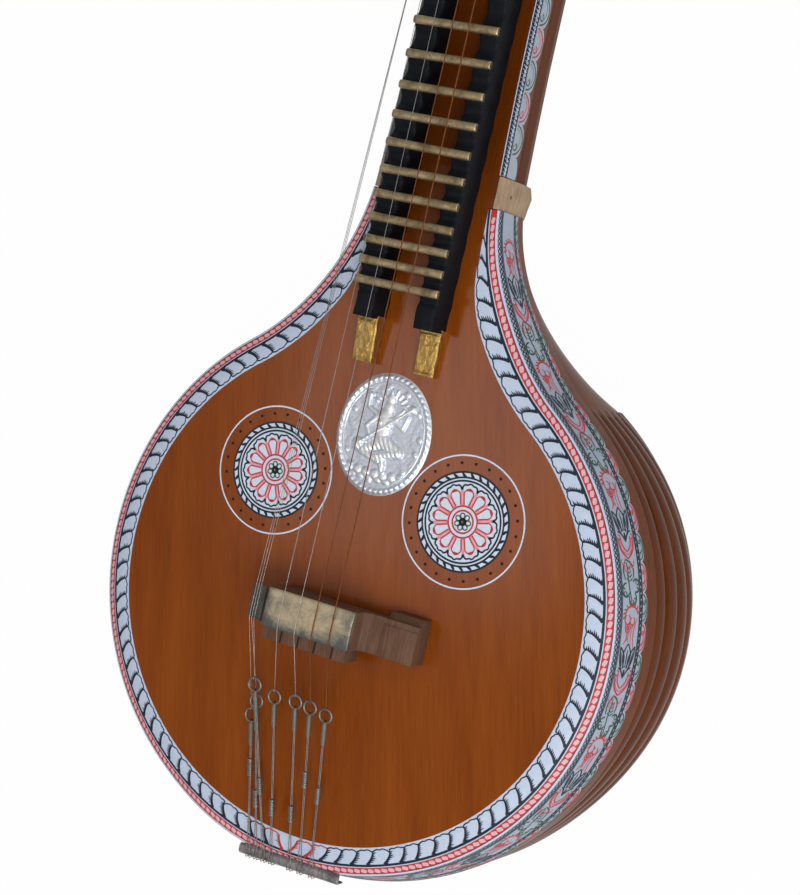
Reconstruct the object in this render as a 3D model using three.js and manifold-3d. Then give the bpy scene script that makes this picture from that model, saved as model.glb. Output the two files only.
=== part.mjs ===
// A South Indian veena, lying face up on its bowl and its gourd.
// Millimetres. +Z is the soundboard's normal, +Y runs up the neck, +X is the side away from the player.
// The origin is the centre of the flat foot under the bowl.

import * as THREE from 'three';
import { mergeVertices } from 'three/addons/utils/BufferGeometryUtils.js';
import Module from 'manifold-3d';

const wasm = await Module();
wasm.setup();

// Overall sizes
const boardTop = 200;
const boardThickness = 4;
const speakingLength = 850;
const bridgeLineY = -11;
const fretCount = 24;
const semitonesPerOctave = 12;
const seat = 0.3;
const overrun = 6;
const mergeTolerance = 0.0005;

// Bowl: a round carved resonator with a cape that narrows into the neck
const bowlRadius = 183;
const tailShare = 0.97;
const endBulge = 10;
const sideBulge = 9.3;
const sideBulgeDegrees = 105;
const sideBulgeRate = 1.45;
const bandFlare = 9.5;
const bandDepth = 38;
const widestDepth = 90;
const footRadius = 30;
const bowlWall = 10;
const neckFillet = 160;
const jointSetback = 13.37;
const capeRidgeShare = 0.826;
const capeFullness = 0.72;
const capeOverlap = 12;
const jointWall = 14;

// Collar at the joint of bowl and neck
const collarLength = 20.4;
const collarTongueHalfWidth = 40.6;
const collarSwell = 4.5;
const collarEndSwell = 1;
const collarDrop = 5;

// Neck: a hollow trough under a plank
const neckHalfWidthAtBowl = 44.5;
const neckHalfWidthAtWaist = 41;
const neckHalfWidthAtNut = 38.5;
const neckWaistY = 395;
const neckDepthAtBowl = 66;
const neckDepthAtNut = 60;
const neckSideDepth = 22;
const neckWall = 8;
const neckEndWall = 16;
const neckPastNut = 9;
const neckRoundness = 2.6;

// Rosettes: a small sound hole in the middle of each
const rosetteX = 69.7;
const rosetteY = 67;
const soundHoleRadius = 2.5;

// Wax rails and frets
const railInner = 14.5;
const railOuter = 29;
const railHeight = 22;
const railTail = 21.5;
const railNutGap = 4;
const scallopDepth = 6;
const crestLength = 9;
const foilLength = 30;
const foilHeight = 12;
const foilEndHeight = 8;
const fretHalfLength = 28.8;
const fretWidth = 5.4;
const fretThickness = 3.4;
const fretShoulder = 1.4;

// Nut
const nutLength = 6;
const nutHalfWidth = 33;
const nutHeight = 29;

// Bridge
const bridgeFrontY = -2.5;
const bridgeBackY = -27.5;
const bridgeLedge = 9;
const bridgeLedgeDrop = 4.5;
const bridgeLeft = -38;
const bridgeTopRight = 27.5;
const bridgeFootRight = -9;
const bridgeArmTop = 17;
const bridgeArchTop = 8;
const bridgeBlockLeft = 41;
const bridgeBlockRight = 65;
const bridgeBlockTop = 18;
const bridgeBlockEdge = 4;
const plateTop = 35;
const plateThickness = 3;
const plateLeft = -35.5;
const plateCrown = 1;
const sideBridgeReach = 13.5;
const sideBridgeTop = 33;
const sideBridgeFall = 7;
const sideBridgeThickness = 2.4;
const sideBridgeLeg = 20;
const sideBridgeInset = 1.5;

// Tailpiece: a bent strip over the rim, slightly askew
const tailBarLeft = -32.5;
const tailBarRight = 42.5;
const tailBarOverlap = 3.41;
const tailBarWidth = 7;
const tailBarRise = 2.8;
const tailBarDrop = 6;
const tailBarFlange = 1.2;
const tailBarSlope = 0.036;

// Playing strings, from the player's side
const stringBridgeX = [-23.5, -10.8, 1.6, 14.3];
const stringNutX = [-25.5, -13.5, 1, 11];
const stringRadii = [0.35, 0.4, 0.5, 0.55];
const stringSides = 5;
const ringY = [-71.7, -70.5, -71.1, -72.8];
const ringX = [-20.6, -5.1, 6, 18];
const hangerTailX = [-7.7, 6.3, 14, 22.6];
const beadRestShares = [0.6245, 0.6274, 0.3246, 0.4027];

// Side strings
const sideStringBridgeX = [-48.6, -46, -43.4];
const sideStringPinX = [-36.4, -34.6, -33.2];
const sideStringRadius = 0.3;
const sideRingY = [-90.6, -79.6, -67.7];
const sideRingX = [-40.5, -36.5, -35.5];
const sideRingHeights = [11, 16, 25];
const sideHangerTailX = [-25, -19.3, -13.6];
const sideBeadRestShares = [0.2111, 0.5642, 0.5121];
const sidePegSetbacks = [319, 239, 159];
const pinSetback = 26;
const pinRadius = 2.2;
const pinHeight = 20.5;

// Hangers: a ring, a wound sleeve and a doubled wire that hooks over the tailpiece
const ringRadius = 4.4;
const ringWire = 0.65;
const hangerWire = 0.38;
const hangerHalfGap = 0.45;
const hangerHalfSplay = 1.2;
const hangerSplayShare = 0.82;
const sleeveRadius = 2;
const sleeveLength = 16;
const hookDrop = 2.5;
const ringHeight = 23;

// Tuning beads: a wire wound round both hanger wires
const beadTurns = 7;
const beadPitch = 1.6;
const beadWire = 0.36;
const beadClearance = 0.35;
const beadSteps = 6;
const beadSides = 4;
const curlSteps = 8;
const curlSides = 5;

// Pegbox
const pegboxLength = 150;
const pegboxEndHalfWidth = 31;
const pegboxEndDepth = 52;
const pegboxWall = 9;
const pegboxEndWall = 15;
const pegboxCavityDepth = 44;
const pegboxSideDepth = 34;
const pegDepth = 24;
const pegFirstY = 30;

// Pegs
const pegShaftRadius = 5;
const pegClearance = 0.3;
const pegStandOff = 11;
const pegTipReach = 5;
const pegCollarRadius = 9;
const pegCollarLength = 4;
const pegKnobRadius = 14;
const pegKnobLength = 34;
const sidePegShaftRadius = 3.6;
const sidePegStandOff = 12;
const sidePegInside = 15;
const sidePegCollarRadius = 6.5;
const sidePegKnobRadius = 9.5;
const sidePegKnobLength = 24;
const sidePegDepth = 13;
const windingTurns = 2;
const windingGap = 0.3;
const windingPitchGap = 0.5;

// Gourd and the cup that holds it
const gourdSetback = 114;
const gourdRadius = 105;
const gourdWidestHeight = 60;
const gourdFootRadius = 30;
const gourdWall = 6;
const cupHeight = 12;
const cupMouthRadius = 36;
const cupNeckRadius = 27;
const cupEmbed = 9;
const screwRadius = 9;
const screwLength = 18;

// Carved head
const headStartHalfWidth = 30;
const headStartDepth = 26;
const headReach = 88;
const headFall = 92;
const skullRadius = 27;
const snoutLength = 52;
const eyeRadius = 7.5;
const earLength = 30;
const earLean = 0.5;
const earSplay = 0.35;
const fangLength = 15;

// Round shapes are cut in these many steps
const bowlSteps = 40;
const roundSteps = 12;
const gourdSteps = 24;
const curveSteps = 8;
const ballSteps = 6;

// Colours
const wood = [0x9c5a1c, 0.32, 0];
const darkWood = [0x6b4227, 0.6, 0];
const bareWood = [0xb9a27c, 0.75, 0];
const wax = [0x17171a, 0.35, 0];
const brass = [0xb59a5c, 0.38, 0.9];
const steel = [0xa9abb0, 0.35, 0.95];
const bronze = [0xa8683c, 0.4, 0.9];
const bone = [0xe6dcc2, 0.5, 0];
const silverGrey = [0x8f9094, 0.4, 0.9];
const gourdSkin = [0x8a5a2c, 0.42, 0];

const group = new THREE.Group();

function addNode(name, geometry, [color, roughness, metalness]) {
  const material = new THREE.MeshStandardMaterial({ color, roughness, metalness });
  const mesh = new THREE.Mesh(geometry, material);
  mesh.name = name;
  group.add(mesh);
  return mesh;
}

const at = (x, y, z) => new THREE.Vector3(x, y, z);

function signedVolume(position, index) {
  const [a, b, c] = [at(0, 0, 0), at(0, 0, 0), at(0, 0, 0)];
  let total = 0;
  for (let i = 0; i < index.length; i += 3) {
    a.fromBufferAttribute(position, index[i]);
    b.fromBufferAttribute(position, index[i + 1]);
    c.fromBufferAttribute(position, index[i + 2]);
    total += a.dot(b.cross(c));
  }
  return total;
}

// A closed body: shared corners merged, folded faces dropped, all faces turned outward
function closed(geometry) {
  const bare = geometry.clone();
  bare.deleteAttribute('normal');
  bare.deleteAttribute('uv');
  const merged = mergeVertices(bare, mergeTolerance);
  const kept = [];
  const index = merged.index.array;
  for (let i = 0; i < index.length; i += 3) {
    const [a, b, c] = [index[i], index[i + 1], index[i + 2]];
    if (a !== b && b !== c && c !== a) kept.push(a, b, c);
  }
  if (signedVolume(merged.attributes.position, kept) < 0) kept.reverse();
  merged.setIndex(kept);
  return merged;
}

function fromCorners(corners, faces) {
  const geometry = new THREE.BufferGeometry().setFromPoints(corners);
  geometry.setIndex(faces);
  return closed(geometry);
}

function solid(geometry) {
  const body = closed(geometry);
  const mesh = new wasm.Mesh({
    numProp: 3,
    vertProperties: new Float32Array(body.attributes.position.array),
    triVerts: new Uint32Array(body.index.array),
  });
  return new wasm.Manifold(mesh);
}

function geometryOf(manifold) {
  const mesh = manifold.getMesh();
  const geometry = new THREE.BufferGeometry();
  geometry.setAttribute('position', new THREE.BufferAttribute(mesh.vertProperties, mesh.numProp));
  geometry.setIndex(new THREE.BufferAttribute(mesh.triVerts, 1));
  return closed(geometry);
}

const joined = (...geometries) => geometryOf(geometries.map(solid).reduce((all, next) => all.add(next)));

const cut = (geometry, ...tools) =>
  geometryOf(tools.map(solid).reduce((rest, tool) => rest.subtract(tool), solid(geometry)));

// A body through rings of corners, closed at both ends
function loft(rings) {
  const count = rings[0].length;
  const middle = (ring) => ring.reduce((sum, corner) => sum.add(corner), at(0, 0, 0)).divideScalar(count);
  const corners = rings.flat();
  const first = corners.push(middle(rings[0])) - 1;
  const last = corners.push(middle(rings.at(-1))) - 1;
  const end = (rings.length - 1) * count;
  const faces = [];
  for (let j = 0; j < count; j += 1) {
    const next = (j + 1) % count;
    for (let i = 0; i < end; i += count) {
      faces.push(i + j, i + next, i + count + next, i + j, i + count + next, i + count + j);
    }
    faces.push(first, next, j, last, end + j, end + next);
  }
  return fromCorners(corners, faces);
}

function tube(points, radius, sides) {
  const steps = points.slice(1).map((point, i) => point.clone().sub(points[i]).normalize());
  let across = at(0, 0, 1).cross(steps[0]);
  if (across.length() < Math.SQRT1_2) across = at(1, 0, 0);
  const rings = points.map((point, i) => {
    const before = steps[Math.max(i - 1, 0)];
    const after = steps[Math.min(i, steps.length - 1)];
    const along = before.clone().add(after).normalize();
    across = across.clone().addScaledVector(along, -across.dot(along)).normalize();
    const up = along.clone().cross(across);
    return Array.from({ length: sides }, (_, k) => {
      const turn = (2 * Math.PI * k) / sides;
      return point.clone().addScaledVector(across, radius * Math.cos(turn))
        .addScaledVector(up, radius * Math.sin(turn));
    });
  });
  return loft(rings);
}

// A turned body: the profile's points are [radius, height]
function turned(profile, steps) {
  const points = profile.map(([r, z]) => new THREE.Vector2(r, z));
  return closed(new THREE.LatheGeometry(points, steps).rotateX(Math.PI / 2));
}

function plate(shape, low, high) {
  const geometry = new THREE.ExtrudeGeometry(shape, {
    depth: high - low, bevelEnabled: false, curveSegments: bowlSteps / 4,
  });
  return closed(geometry.translate(0, 0, low));
}

function polygon(points) {
  return new THREE.Shape(points.map(([x, y]) => new THREE.Vector2(x, y)));
}

// A profile of [y, z] points, drawn out along X from left to right
function acrossX(points, left, right) {
  const geometry = new THREE.ExtrudeGeometry(polygon(points), { depth: right - left, bevelEnabled: false });
  const toWorld = new THREE.Matrix4().makeBasis(at(0, 1, 0), at(0, 0, 1), at(1, 0, 0));
  return closed(geometry.applyMatrix4(toWorld).translate(left, 0, 0));
}

// A profile of [x, z] points, drawn out along Y from near to far
function alongY(points, near, far) {
  const geometry = new THREE.ExtrudeGeometry(polygon(points), { depth: far - near, bevelEnabled: false });
  const toWorld = new THREE.Matrix4().makeBasis(at(1, 0, 0), at(0, 0, 1), at(0, -1, 0));
  return closed(geometry.applyMatrix4(toWorld).translate(0, far, 0));
}

const lerp = THREE.MathUtils.lerp;
const ramp = (value, from, to) => THREE.MathUtils.clamp((value - from) / (to - from), 0, 1);

// Places that several pieces share
const underBoard = boardTop - boardThickness - seat;
const nutY = bridgeLineY + speakingLength;
const filletX = neckHalfWidthAtBowl + neckFillet;
const filletY = Math.sqrt((bowlRadius + neckFillet) ** 2 - filletX ** 2);
const jointY = filletY - jointSetback;
const capeRidgeY = capeRidgeShare * bowlRadius;
const neckStartY = jointY + collarLength + 2 * seat;
const neckEndY = nutY + neckPastNut;
const sidePegY = sidePegSetbacks.map((setback) => nutY - setback);
const gourdY = nutY - gourdSetback;
const tailBarInnerY = tailBarOverlap - tailShare * bowlRadius;
const widestHeight = boardTop - widestDepth;
const fretY = (n) => bridgeLineY + speakingLength * 2 ** (-n / semitonesPerOctave);
const fretFloor = boardTop + railHeight;
const fretTop = fretFloor + fretThickness;
const railEndY = fretY(fretCount) - railTail;
const neckHalfWidth = (y) => (y < neckWaistY
  ? lerp(neckHalfWidthAtBowl, neckHalfWidthAtWaist, Math.sin((Math.PI / 2) * ramp(y, jointY, neckWaistY)))
  : lerp(neckHalfWidthAtWaist, neckHalfWidthAtNut, ramp(y, neckWaistY, nutY)));
const neckDepth = (y) => lerp(neckDepthAtBowl, neckDepthAtNut, ramp(y, jointY, nutY));

// The outline's half width beside the fillet that leads into the neck
const filletHalfWidth = (y) => filletX - Math.sqrt(neckFillet ** 2 - Math.min(filletY - y, neckFillet) ** 2);

// Half a U section, from its top edge down to the keel: [x, z] points
function halfSection({ top, topHalf, widestHalf, widestDrop, depth, roundness, topSlack }) {
  const side = [[topHalf, top + topSlack], [lerp(topHalf, widestHalf, 0.6), top - widestDrop / 2]];
  const round = Array.from({ length: curveSteps + 1 }, (_, i) => {
    const turn = (Math.PI / 2) * (i / curveSteps);
    const x = widestHalf * Math.cos(turn) ** (2 / roundness);
    const drop = (depth - widestDrop) * Math.sin(turn) ** (2 / roundness);
    return [x, top - widestDrop - drop];
  });
  return [...side, ...round];
}

function sectionRing(half, y) {
  const left = half.slice(0, -1).map(([x, z]) => at(-x, y, z));
  const right = half.slice(0, -1).map(([x, z]) => at(x, y, z)).reverse();
  return [...left, at(0, y, half.at(-1)[1]), ...right];
}

// Bowl

// How far the bowl bulges past its rim, by the angle from the tail: most a little past the sides
function bulgeAt(angle) {
  const turn = sideBulgeRate * (Math.abs(angle) - THREE.MathUtils.degToRad(sideBulgeDegrees));
  return endBulge + (Math.abs(turn) < Math.PI / 2 ? sideBulge * Math.cos(turn) ** 2 : 0);
}

// A point of the bowl's wall at an angle from the tail. The tail's half is a little flattened
function wallPoint(angle, radius, height) {
  const y = -radius * Math.cos(angle);
  return at(radius * Math.sin(angle), y < 0 ? tailShare * y : y, height);
}

// Rings of the bowl: a flaring band, a swelling wall, then a quarter ellipse down to the foot
function bowlRings(inset, topHeight, steps) {
  const angles = Array.from({ length: steps }, (_, j) => 2 * Math.PI * (j / steps) - Math.PI);
  const ring = (place) => angles.map((angle) => {
    const [radius, height] = place(angle);
    return wallPoint(angle, radius - inset, height);
  });
  const flare = bandFlare / bandDepth;
  const band = [topHeight, boardTop - bandDepth].map((height) =>
    ring(() => [bowlRadius + flare * (boardTop - height), height]));
  const wall = [1 / 3, 2 / 3, 1].map((share) => ring((angle) => [
    bowlRadius + lerp(bandFlare, bulgeAt(angle), 1 - (1 - share) ** 2),
    boardTop - lerp(bandDepth, widestDepth, share),
  ]));
  const belly = Array.from({ length: curveSteps }, (_, i) => ring((angle) => {
    const radius = bowlRadius + bulgeAt(angle);
    const keel = Math.acos(footRadius / radius);
    const turn = (keel * (i + 1)) / curveSteps;
    return [radius * Math.cos(turn), lerp(widestHeight, inset, Math.sin(turn) / Math.sin(keel))];
  }));
  return [...band, ...wall, ...belly];
}

function capeSection(y, inset, topSlack) {
  const ridgeRadius = bowlRadius + bulgeAt(Math.PI - Math.acos(capeRidgeY / bowlRadius));
  const ridgeHalf = Math.sqrt(ridgeRadius ** 2 - capeRidgeY ** 2);
  const ridgeDepth = widestDepth + (widestHeight * ridgeHalf) / Math.sqrt(ridgeRadius ** 2 - footRadius ** 2);
  const ridgeTopHalf = filletHalfWidth(capeRidgeY);
  const topHalf = y < capeRidgeY ? Math.sqrt(bowlRadius ** 2 - capeRidgeY ** 2) : filletHalfWidth(y);
  const share = ramp(topHalf, neckHalfWidthAtBowl, ridgeTopHalf);
  const drop = boardTop - underBoard;
  return halfSection({
    top: underBoard,
    topHalf: topHalf - inset,
    widestHalf: lerp(neckHalfWidthAtBowl, ridgeHalf, share ** capeFullness) - inset,
    widestDrop: lerp(neckSideDepth, widestDepth, share) - drop,
    depth: lerp(neckDepthAtBowl, ridgeDepth, share) - drop - inset,
    roundness: lerp(neckRoundness, 2, share),
    topSlack,
  });
}

function makeBowl() {
  const capeYs = Array.from({ length: curveSteps + 1 }, (_, i) =>
    lerp(capeRidgeY, jointY, (i / curveSteps) ** 0.9));
  const outerYs = [capeRidgeY - capeOverlap, ...capeYs];
  const outerCape = loft(outerYs.map((y) => sectionRing(capeSection(y, 0, 0), y)));
  const hollowYs = [capeRidgeY - capeOverlap, ...capeYs].map((y) => Math.min(y, jointY - jointWall));
  const hollowRings = [...new Set(hollowYs)].map((y) => sectionRing(capeSection(y, bowlWall, overrun), y));
  const outer = joined(loft(bowlRings(0, underBoard, bowlSteps)), outerCape);
  const hollow = joined(loft(bowlRings(bowlWall, underBoard + overrun, bowlSteps / 2)), loft(hollowRings));
  return cut(outer, hollow);
}

function makeSoundboard() {
  const shape = new THREE.Shape();
  const meet = Math.atan2(filletY, filletX);
  const tongueY = neckStartY - seat;
  const filletEnd = Math.PI + Math.asin((filletY - jointY) / neckFillet);
  shape.moveTo(-collarTongueHalfWidth, tongueY);
  shape.lineTo(-collarTongueHalfWidth, jointY);
  shape.absarc(-filletX, filletY, neckFillet, 2 * Math.PI - (filletEnd - Math.PI), 2 * Math.PI - meet, true);
  shape.absarc(0, 0, bowlRadius, Math.PI - meet, Math.PI, false);
  shape.absellipse(0, 0, bowlRadius, tailShare * bowlRadius, Math.PI, 2 * Math.PI, false);
  shape.absarc(0, 0, bowlRadius, 0, meet, false);
  shape.absarc(filletX, filletY, neckFillet, Math.PI + meet, filletEnd, true);
  shape.lineTo(collarTongueHalfWidth, jointY);
  shape.lineTo(collarTongueHalfWidth, tongueY);
  for (const x of [-rosetteX, rosetteX]) {
    const hole = new THREE.Path();
    hole.absarc(x, rosetteY, soundHoleRadius, 0, 2 * Math.PI, true);
    shape.holes.push(new THREE.Path(hole.getPoints(roundSteps / 4)));
  }
  return plate(shape, boardTop - boardThickness, boardTop);
}

// Collar: a block below the board, with cheeks that rise beside it

function makeCollar() {
  const start = jointY + seat;
  const ringAt = (y, swell) => {
    const outer = neckHalfWidth(y) + swell;
    const half = halfSection({
      top: underBoard,
      topHalf: outer - swell / 2,
      widestHalf: outer,
      widestDrop: neckSideDepth,
      depth: neckDepth(y) + collarDrop * (swell / collarSwell),
      roundness: neckRoundness,
      topSlack: boardTop - underBoard,
    });
    return sectionRing(half, y);
  };
  const block = loft([
    ringAt(start, collarEndSwell),
    ringAt(start + collarLength * 0.3, collarSwell),
    ringAt(start + collarLength * 0.7, collarSwell),
    ringAt(start + collarLength, collarEndSwell),
  ]);
  const inner = collarTongueHalfWidth + seat;
  const slot = polygon([
    [-inner, start - overrun],
    [inner, start - overrun],
    [inner, start + collarLength + overrun],
    [-inner, start + collarLength + overrun],
  ]);
  return cut(block, plate(slot, underBoard, boardTop + overrun));
}

// Neck, plank and the gourd's cup

function neckSection(y, inset, topSlack) {
  const drop = boardTop - underBoard;
  return sectionRing(halfSection({
    top: underBoard,
    topHalf: neckHalfWidth(y) - inset,
    widestHalf: neckHalfWidth(y) - inset,
    widestDrop: neckSideDepth - drop,
    depth: neckDepth(y) - drop - inset,
    roundness: neckRoundness,
    topSlack,
  }), y);
}

const cupTop = boardTop - neckDepth(gourdY);
const cupFace = cupTop - cupHeight;

function sidePegBore(y) {
  const bore = new THREE.CylinderGeometry(
    sidePegShaftRadius + pegClearance, sidePegShaftRadius + pegClearance, 2 * neckWall, roundSteps,
  );
  const wallX = -neckHalfWidth(y) + neckWall / 2;
  return bore.rotateZ(Math.PI / 2).translate(wallX, y, boardTop - sidePegDepth);
}

function makeNeck() {
  const waistYs = [0, 0.33, 0.66, 1].map((share) => lerp(neckStartY, neckWaistY, share));
  const outer = loft([...waistYs, neckEndY].map((y) => neckSection(y, 0, 0)));
  const hollowWaistYs = [0, 0.33, 0.66, 1].map((share) => lerp(neckStartY + neckEndWall, neckWaistY, share));
  const hollowYs = [...hollowWaistYs, neckEndY - neckEndWall];
  const hollow = loft(hollowYs.map((y) => neckSection(y, neckWall, overrun)));
  const cup = turned([
    [0, cupTop + cupEmbed],
    [cupNeckRadius, cupTop + cupEmbed],
    [cupNeckRadius, cupTop - cupHeight / 3],
    [cupMouthRadius, cupFace + cupHeight / 3],
    [cupMouthRadius, cupFace],
    [screwRadius, cupFace],
    [screwRadius, cupFace - screwLength],
    [0, cupFace - screwLength],
  ], gourdSteps).translate(0, gourdY, 0);
  const trough = cut(outer, hollow, ...sidePegY.map(sidePegBore));
  return cut(joined(trough, cup), loft(hollowYs.map((y) => neckSection(y, neckWall, overrun))));
}

function makeNeckTop() {
  const start = neckStartY;
  const ys = [start, lerp(start, neckWaistY, 0.33), lerp(start, neckWaistY, 0.66), neckWaistY, neckEndY];
  const right = ys.map((y) => [neckHalfWidth(y), y]);
  const left = ys.map((y) => [-neckHalfWidth(y), y]).reverse();
  const board = plate(polygon([...right, ...left]), boardTop - boardThickness, boardTop);
  const pins = sidePegY.map((y, i) => {
    const pin = turned([
      [0, boardTop - boardThickness / 2],
      [pinRadius, boardTop - boardThickness / 2],
      [pinRadius, boardTop + pinHeight - pinRadius],
      [pinRadius / 2, boardTop + pinHeight],
      [0, boardTop + pinHeight],
    ], roundSteps);
    return pin.translate(sideStringPinX[i], y - pinSetback, 0);
  });
  return joined(board, ...pins);
}

// Rails with a crest under each fret and a scallop between frets

function railTop() {
  const points = [];
  for (let n = fretCount; n >= 1; n -= 1) {
    const y = fretY(n);
    const nextCrest = n > 1 ? fretY(n - 1) - crestLength / 2 : nutY - nutLength / 2 - railNutGap;
    const from = y + crestLength / 2;
    points.push([y - crestLength / 2, fretFloor - seat], [from, fretFloor - seat]);
    if (n > 1) {
      const dip = Math.min(scallopDepth, (nextCrest - from) / 2);
      points.push([lerp(from, nextCrest, 0.25), fretFloor - dip]);
      points.push([lerp(from, nextCrest, 0.75), fretFloor - dip]);
    }
  }
  return points;
}

function makeRail(side) {
  const low = boardTop + seat;
  const far = nutY - nutLength / 2 - railNutGap;
  const profile = [
    [railEndY - foilLength, low],
    [far, low],
    [far, fretFloor - scallopDepth],
    ...railTop().reverse(),
    [railEndY, fretFloor - 2 * seat],
    [railEndY, boardTop + foilHeight],
    [railEndY - foilLength, boardTop + foilEndHeight],
  ];
  const [left, right] = side > 0 ? [railInner, railOuter] : [-railOuter, -railInner];
  return acrossX(profile, left, right);
}

function makeFret(n) {
  const y = fretY(n);
  const half = fretWidth / 2;
  const low = fretFloor;
  return acrossX([
    [y - half, low],
    [y + half, low],
    [y + half, low + fretShoulder],
    [y + half / 2, fretTop],
    [y - half / 2, fretTop],
    [y - half, low + fretShoulder],
  ], -fretHalfLength, fretHalfLength);
}

function makeNut() {
  const half = nutLength / 2;
  return acrossX([
    [nutY - half, boardTop + seat],
    [nutY + half, boardTop + seat],
    [nutY + half, boardTop + nutHeight - half / 2],
    [nutY, boardTop + nutHeight],
    [nutY - half, boardTop + nutHeight - half / 2],
  ], -nutHalfWidth, nutHalfWidth);
}

// Bridge

function makeBridgeBody() {
  const base = boardTop + seat;
  const underPlate = boardTop + plateTop - plateThickness - seat;
  const arch = boardTop + bridgeArchTop;
  const archRise = bridgeArchTop / 2;
  const body = alongY([
    [bridgeLeft, base],
    [bridgeFootRight, base],
    [bridgeFootRight + archRise, arch - archRise / 2],
    [bridgeFootRight + 2 * archRise, arch],
    [bridgeBlockLeft - archRise, arch],
    [bridgeBlockLeft, base],
    [bridgeBlockRight, base],
    [bridgeBlockRight, boardTop + bridgeArmTop],
    [bridgeTopRight + archRise, boardTop + bridgeArmTop],
    [bridgeTopRight, boardTop + bridgeArmTop + archRise],
    [bridgeTopRight, underPlate],
    [bridgeLeft, underPlate],
  ], bridgeBackY, bridgeFrontY);
  const ledge = alongY([
    [bridgeLeft, base],
    [bridgeFootRight, base],
    [bridgeFootRight + archRise, arch],
    [bridgeTopRight - archRise, arch],
    [bridgeTopRight - archRise, underPlate - bridgeLedgeDrop],
    [bridgeLeft, underPlate - bridgeLedgeDrop],
  ], bridgeBackY - bridgeLedge, bridgeBackY + overrun);
  const block = acrossX([
    [bridgeBackY, base],
    [bridgeFrontY + bridgeBlockEdge, base],
    [bridgeFrontY + bridgeBlockEdge, boardTop + bridgeBlockTop / 2],
    [bridgeFrontY - bridgeBlockEdge, boardTop + bridgeBlockTop],
    [bridgeBackY, boardTop + bridgeBlockTop],
  ], bridgeBlockLeft, bridgeBlockRight);
  return joined(body, ledge, block);
}

const plateSurface = (y) => {
  const middle = (bridgeFrontY + bridgeBackY) / 2;
  const half = (bridgeFrontY - bridgeBackY) / 2;
  return boardTop + plateTop - plateCrown * ((y - middle) / half) ** 2;
};

function makeBridgePlate() {
  const low = boardTop + plateTop - plateThickness;
  const crown = Array.from({ length: curveSteps + 1 }, (_, i) => {
    const y = lerp(bridgeFrontY, bridgeBackY, i / curveSteps);
    return [y, plateSurface(y)];
  });
  return acrossX([[bridgeBackY, low], [bridgeFrontY, low], ...crown], plateLeft, bridgeTopRight);
}

// The slanted side bridge hangs on the wooden body's left face
function makeSideBridge() {
  const faceX = bridgeLeft - seat;
  const outerX = faceX - sideBridgeReach;
  const top = boardTop + sideBridgeTop;
  const low = top - sideBridgeFall;
  const midX = lerp(faceX, outerX, 0.5);
  const midTop = lerp(top, low, 0.62);
  return alongY([
    [faceX, top - sideBridgeLeg],
    [faceX, top],
    [midX, midTop],
    [outerX, low],
    [outerX, low - sideBridgeThickness],
    [midX, midTop - sideBridgeThickness],
    [faceX - sideBridgeThickness, top - sideBridgeThickness * 1.8],
    [faceX - sideBridgeThickness, top - sideBridgeLeg],
  ], bridgeBackY + sideBridgeInset, bridgeFrontY - sideBridgeInset);
}

// Tailpiece

const tailBarTop = boardTop + tailBarRise;
const tailBarMiddle = (tailBarLeft + tailBarRight) / 2;

function makeTailpiece() {
  const outer = -tailBarWidth;
  const bar = acrossX([
    [0, boardTop + seat],
    [0, boardTop + tailBarRise / 2],
    [outer / 4, tailBarTop],
    [outer * 0.75, tailBarTop],
    [outer, boardTop + tailBarRise / 2],
    [outer, boardTop - tailBarDrop],
    [outer + tailBarFlange, boardTop - tailBarDrop],
    [outer + tailBarFlange, boardTop + seat],
  ], tailBarLeft, tailBarRight);
  bar.translate(-tailBarMiddle, 0, 0).rotateZ(Math.atan(tailBarSlope));
  return closed(bar.translate(tailBarMiddle, tailBarInnerY, 0));
}

// Hangers and beads

function hangerFrame(ring, tailX) {
  const innerY = tailBarInnerY + tailBarSlope * (tailX - tailBarMiddle);
  const tail = at(tailX, innerY - tailBarWidth / 4, tailBarTop + seat + hangerWire);
  const along = tail.clone().sub(ring).normalize();
  const sideways = along.clone().cross(at(0, 0, 1)).normalize();
  return { ring, tail, innerY, along, sideways };
}

// The doubled wire runs from the ring over the bar, down its outer face and round its own small bend
function hangerWireRoute({ ring, tail, innerY, along, sideways }) {
  const start = ring.clone().addScaledVector(along, ringRadius);
  const splay = ring.clone().lerp(tail, hangerSplayShare);
  const outside = innerY - tailBarWidth - seat - 2 * hangerWire;
  const hook = at(tail.x, outside, boardTop - tailBarDrop - hookDrop);
  const wide = [
    tail,
    at(tail.x, innerY - tailBarWidth * 0.75, tail.z),
    at(tail.x, outside, boardTop + tailBarRise / 2 + seat),
    hook,
  ];
  const leg = (side) => [
    ...[start, splay].map((point) => point.clone().addScaledVector(sideways, side * hangerHalfGap)),
    ...wide.map((point) => point.clone().add(at(-side * hangerHalfSplay, 0, 0))),
  ];
  const bend = [1, 2, 3].map((i) => {
    const turn = (Math.PI * i) / 4;
    return hook.clone().add(at(-hangerHalfSplay * Math.cos(turn), 0, -hangerHalfSplay * Math.sin(turn)));
  });
  return [...leg(1), ...bend, ...leg(-1).reverse()];
}

function hanger(frame) {
  const { ring, along } = frame;
  const start = ring.clone().addScaledVector(along, ringRadius);
  const sleeveEnd = start.clone().addScaledVector(along, sleeveLength);
  const loop = new THREE.TorusGeometry(ringRadius, ringWire, curlSides - 1, roundSteps);
  loop.rotateX(Math.asin(-along.z)).translate(ring.x, ring.y, ring.z);
  return [
    tube(hangerWireRoute(frame), hangerWire, curlSides),
    loop,
    tube([start, sleeveEnd], sleeveRadius, curlSteps),
  ];
}

function beadCoil() {
  const mean = (hangerHalfGap + hangerWire + beadClearance + beadWire) / Math.cos(Math.PI / beadSteps);
  return Array.from({ length: beadTurns * beadSteps + 1 }, (_, i) => {
    const turn = (2 * Math.PI * i) / beadSteps;
    const run = beadPitch * (i / beadSteps - beadTurns / 2);
    return at(mean * Math.cos(turn), run, mean * Math.sin(turn));
  });
}

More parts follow.
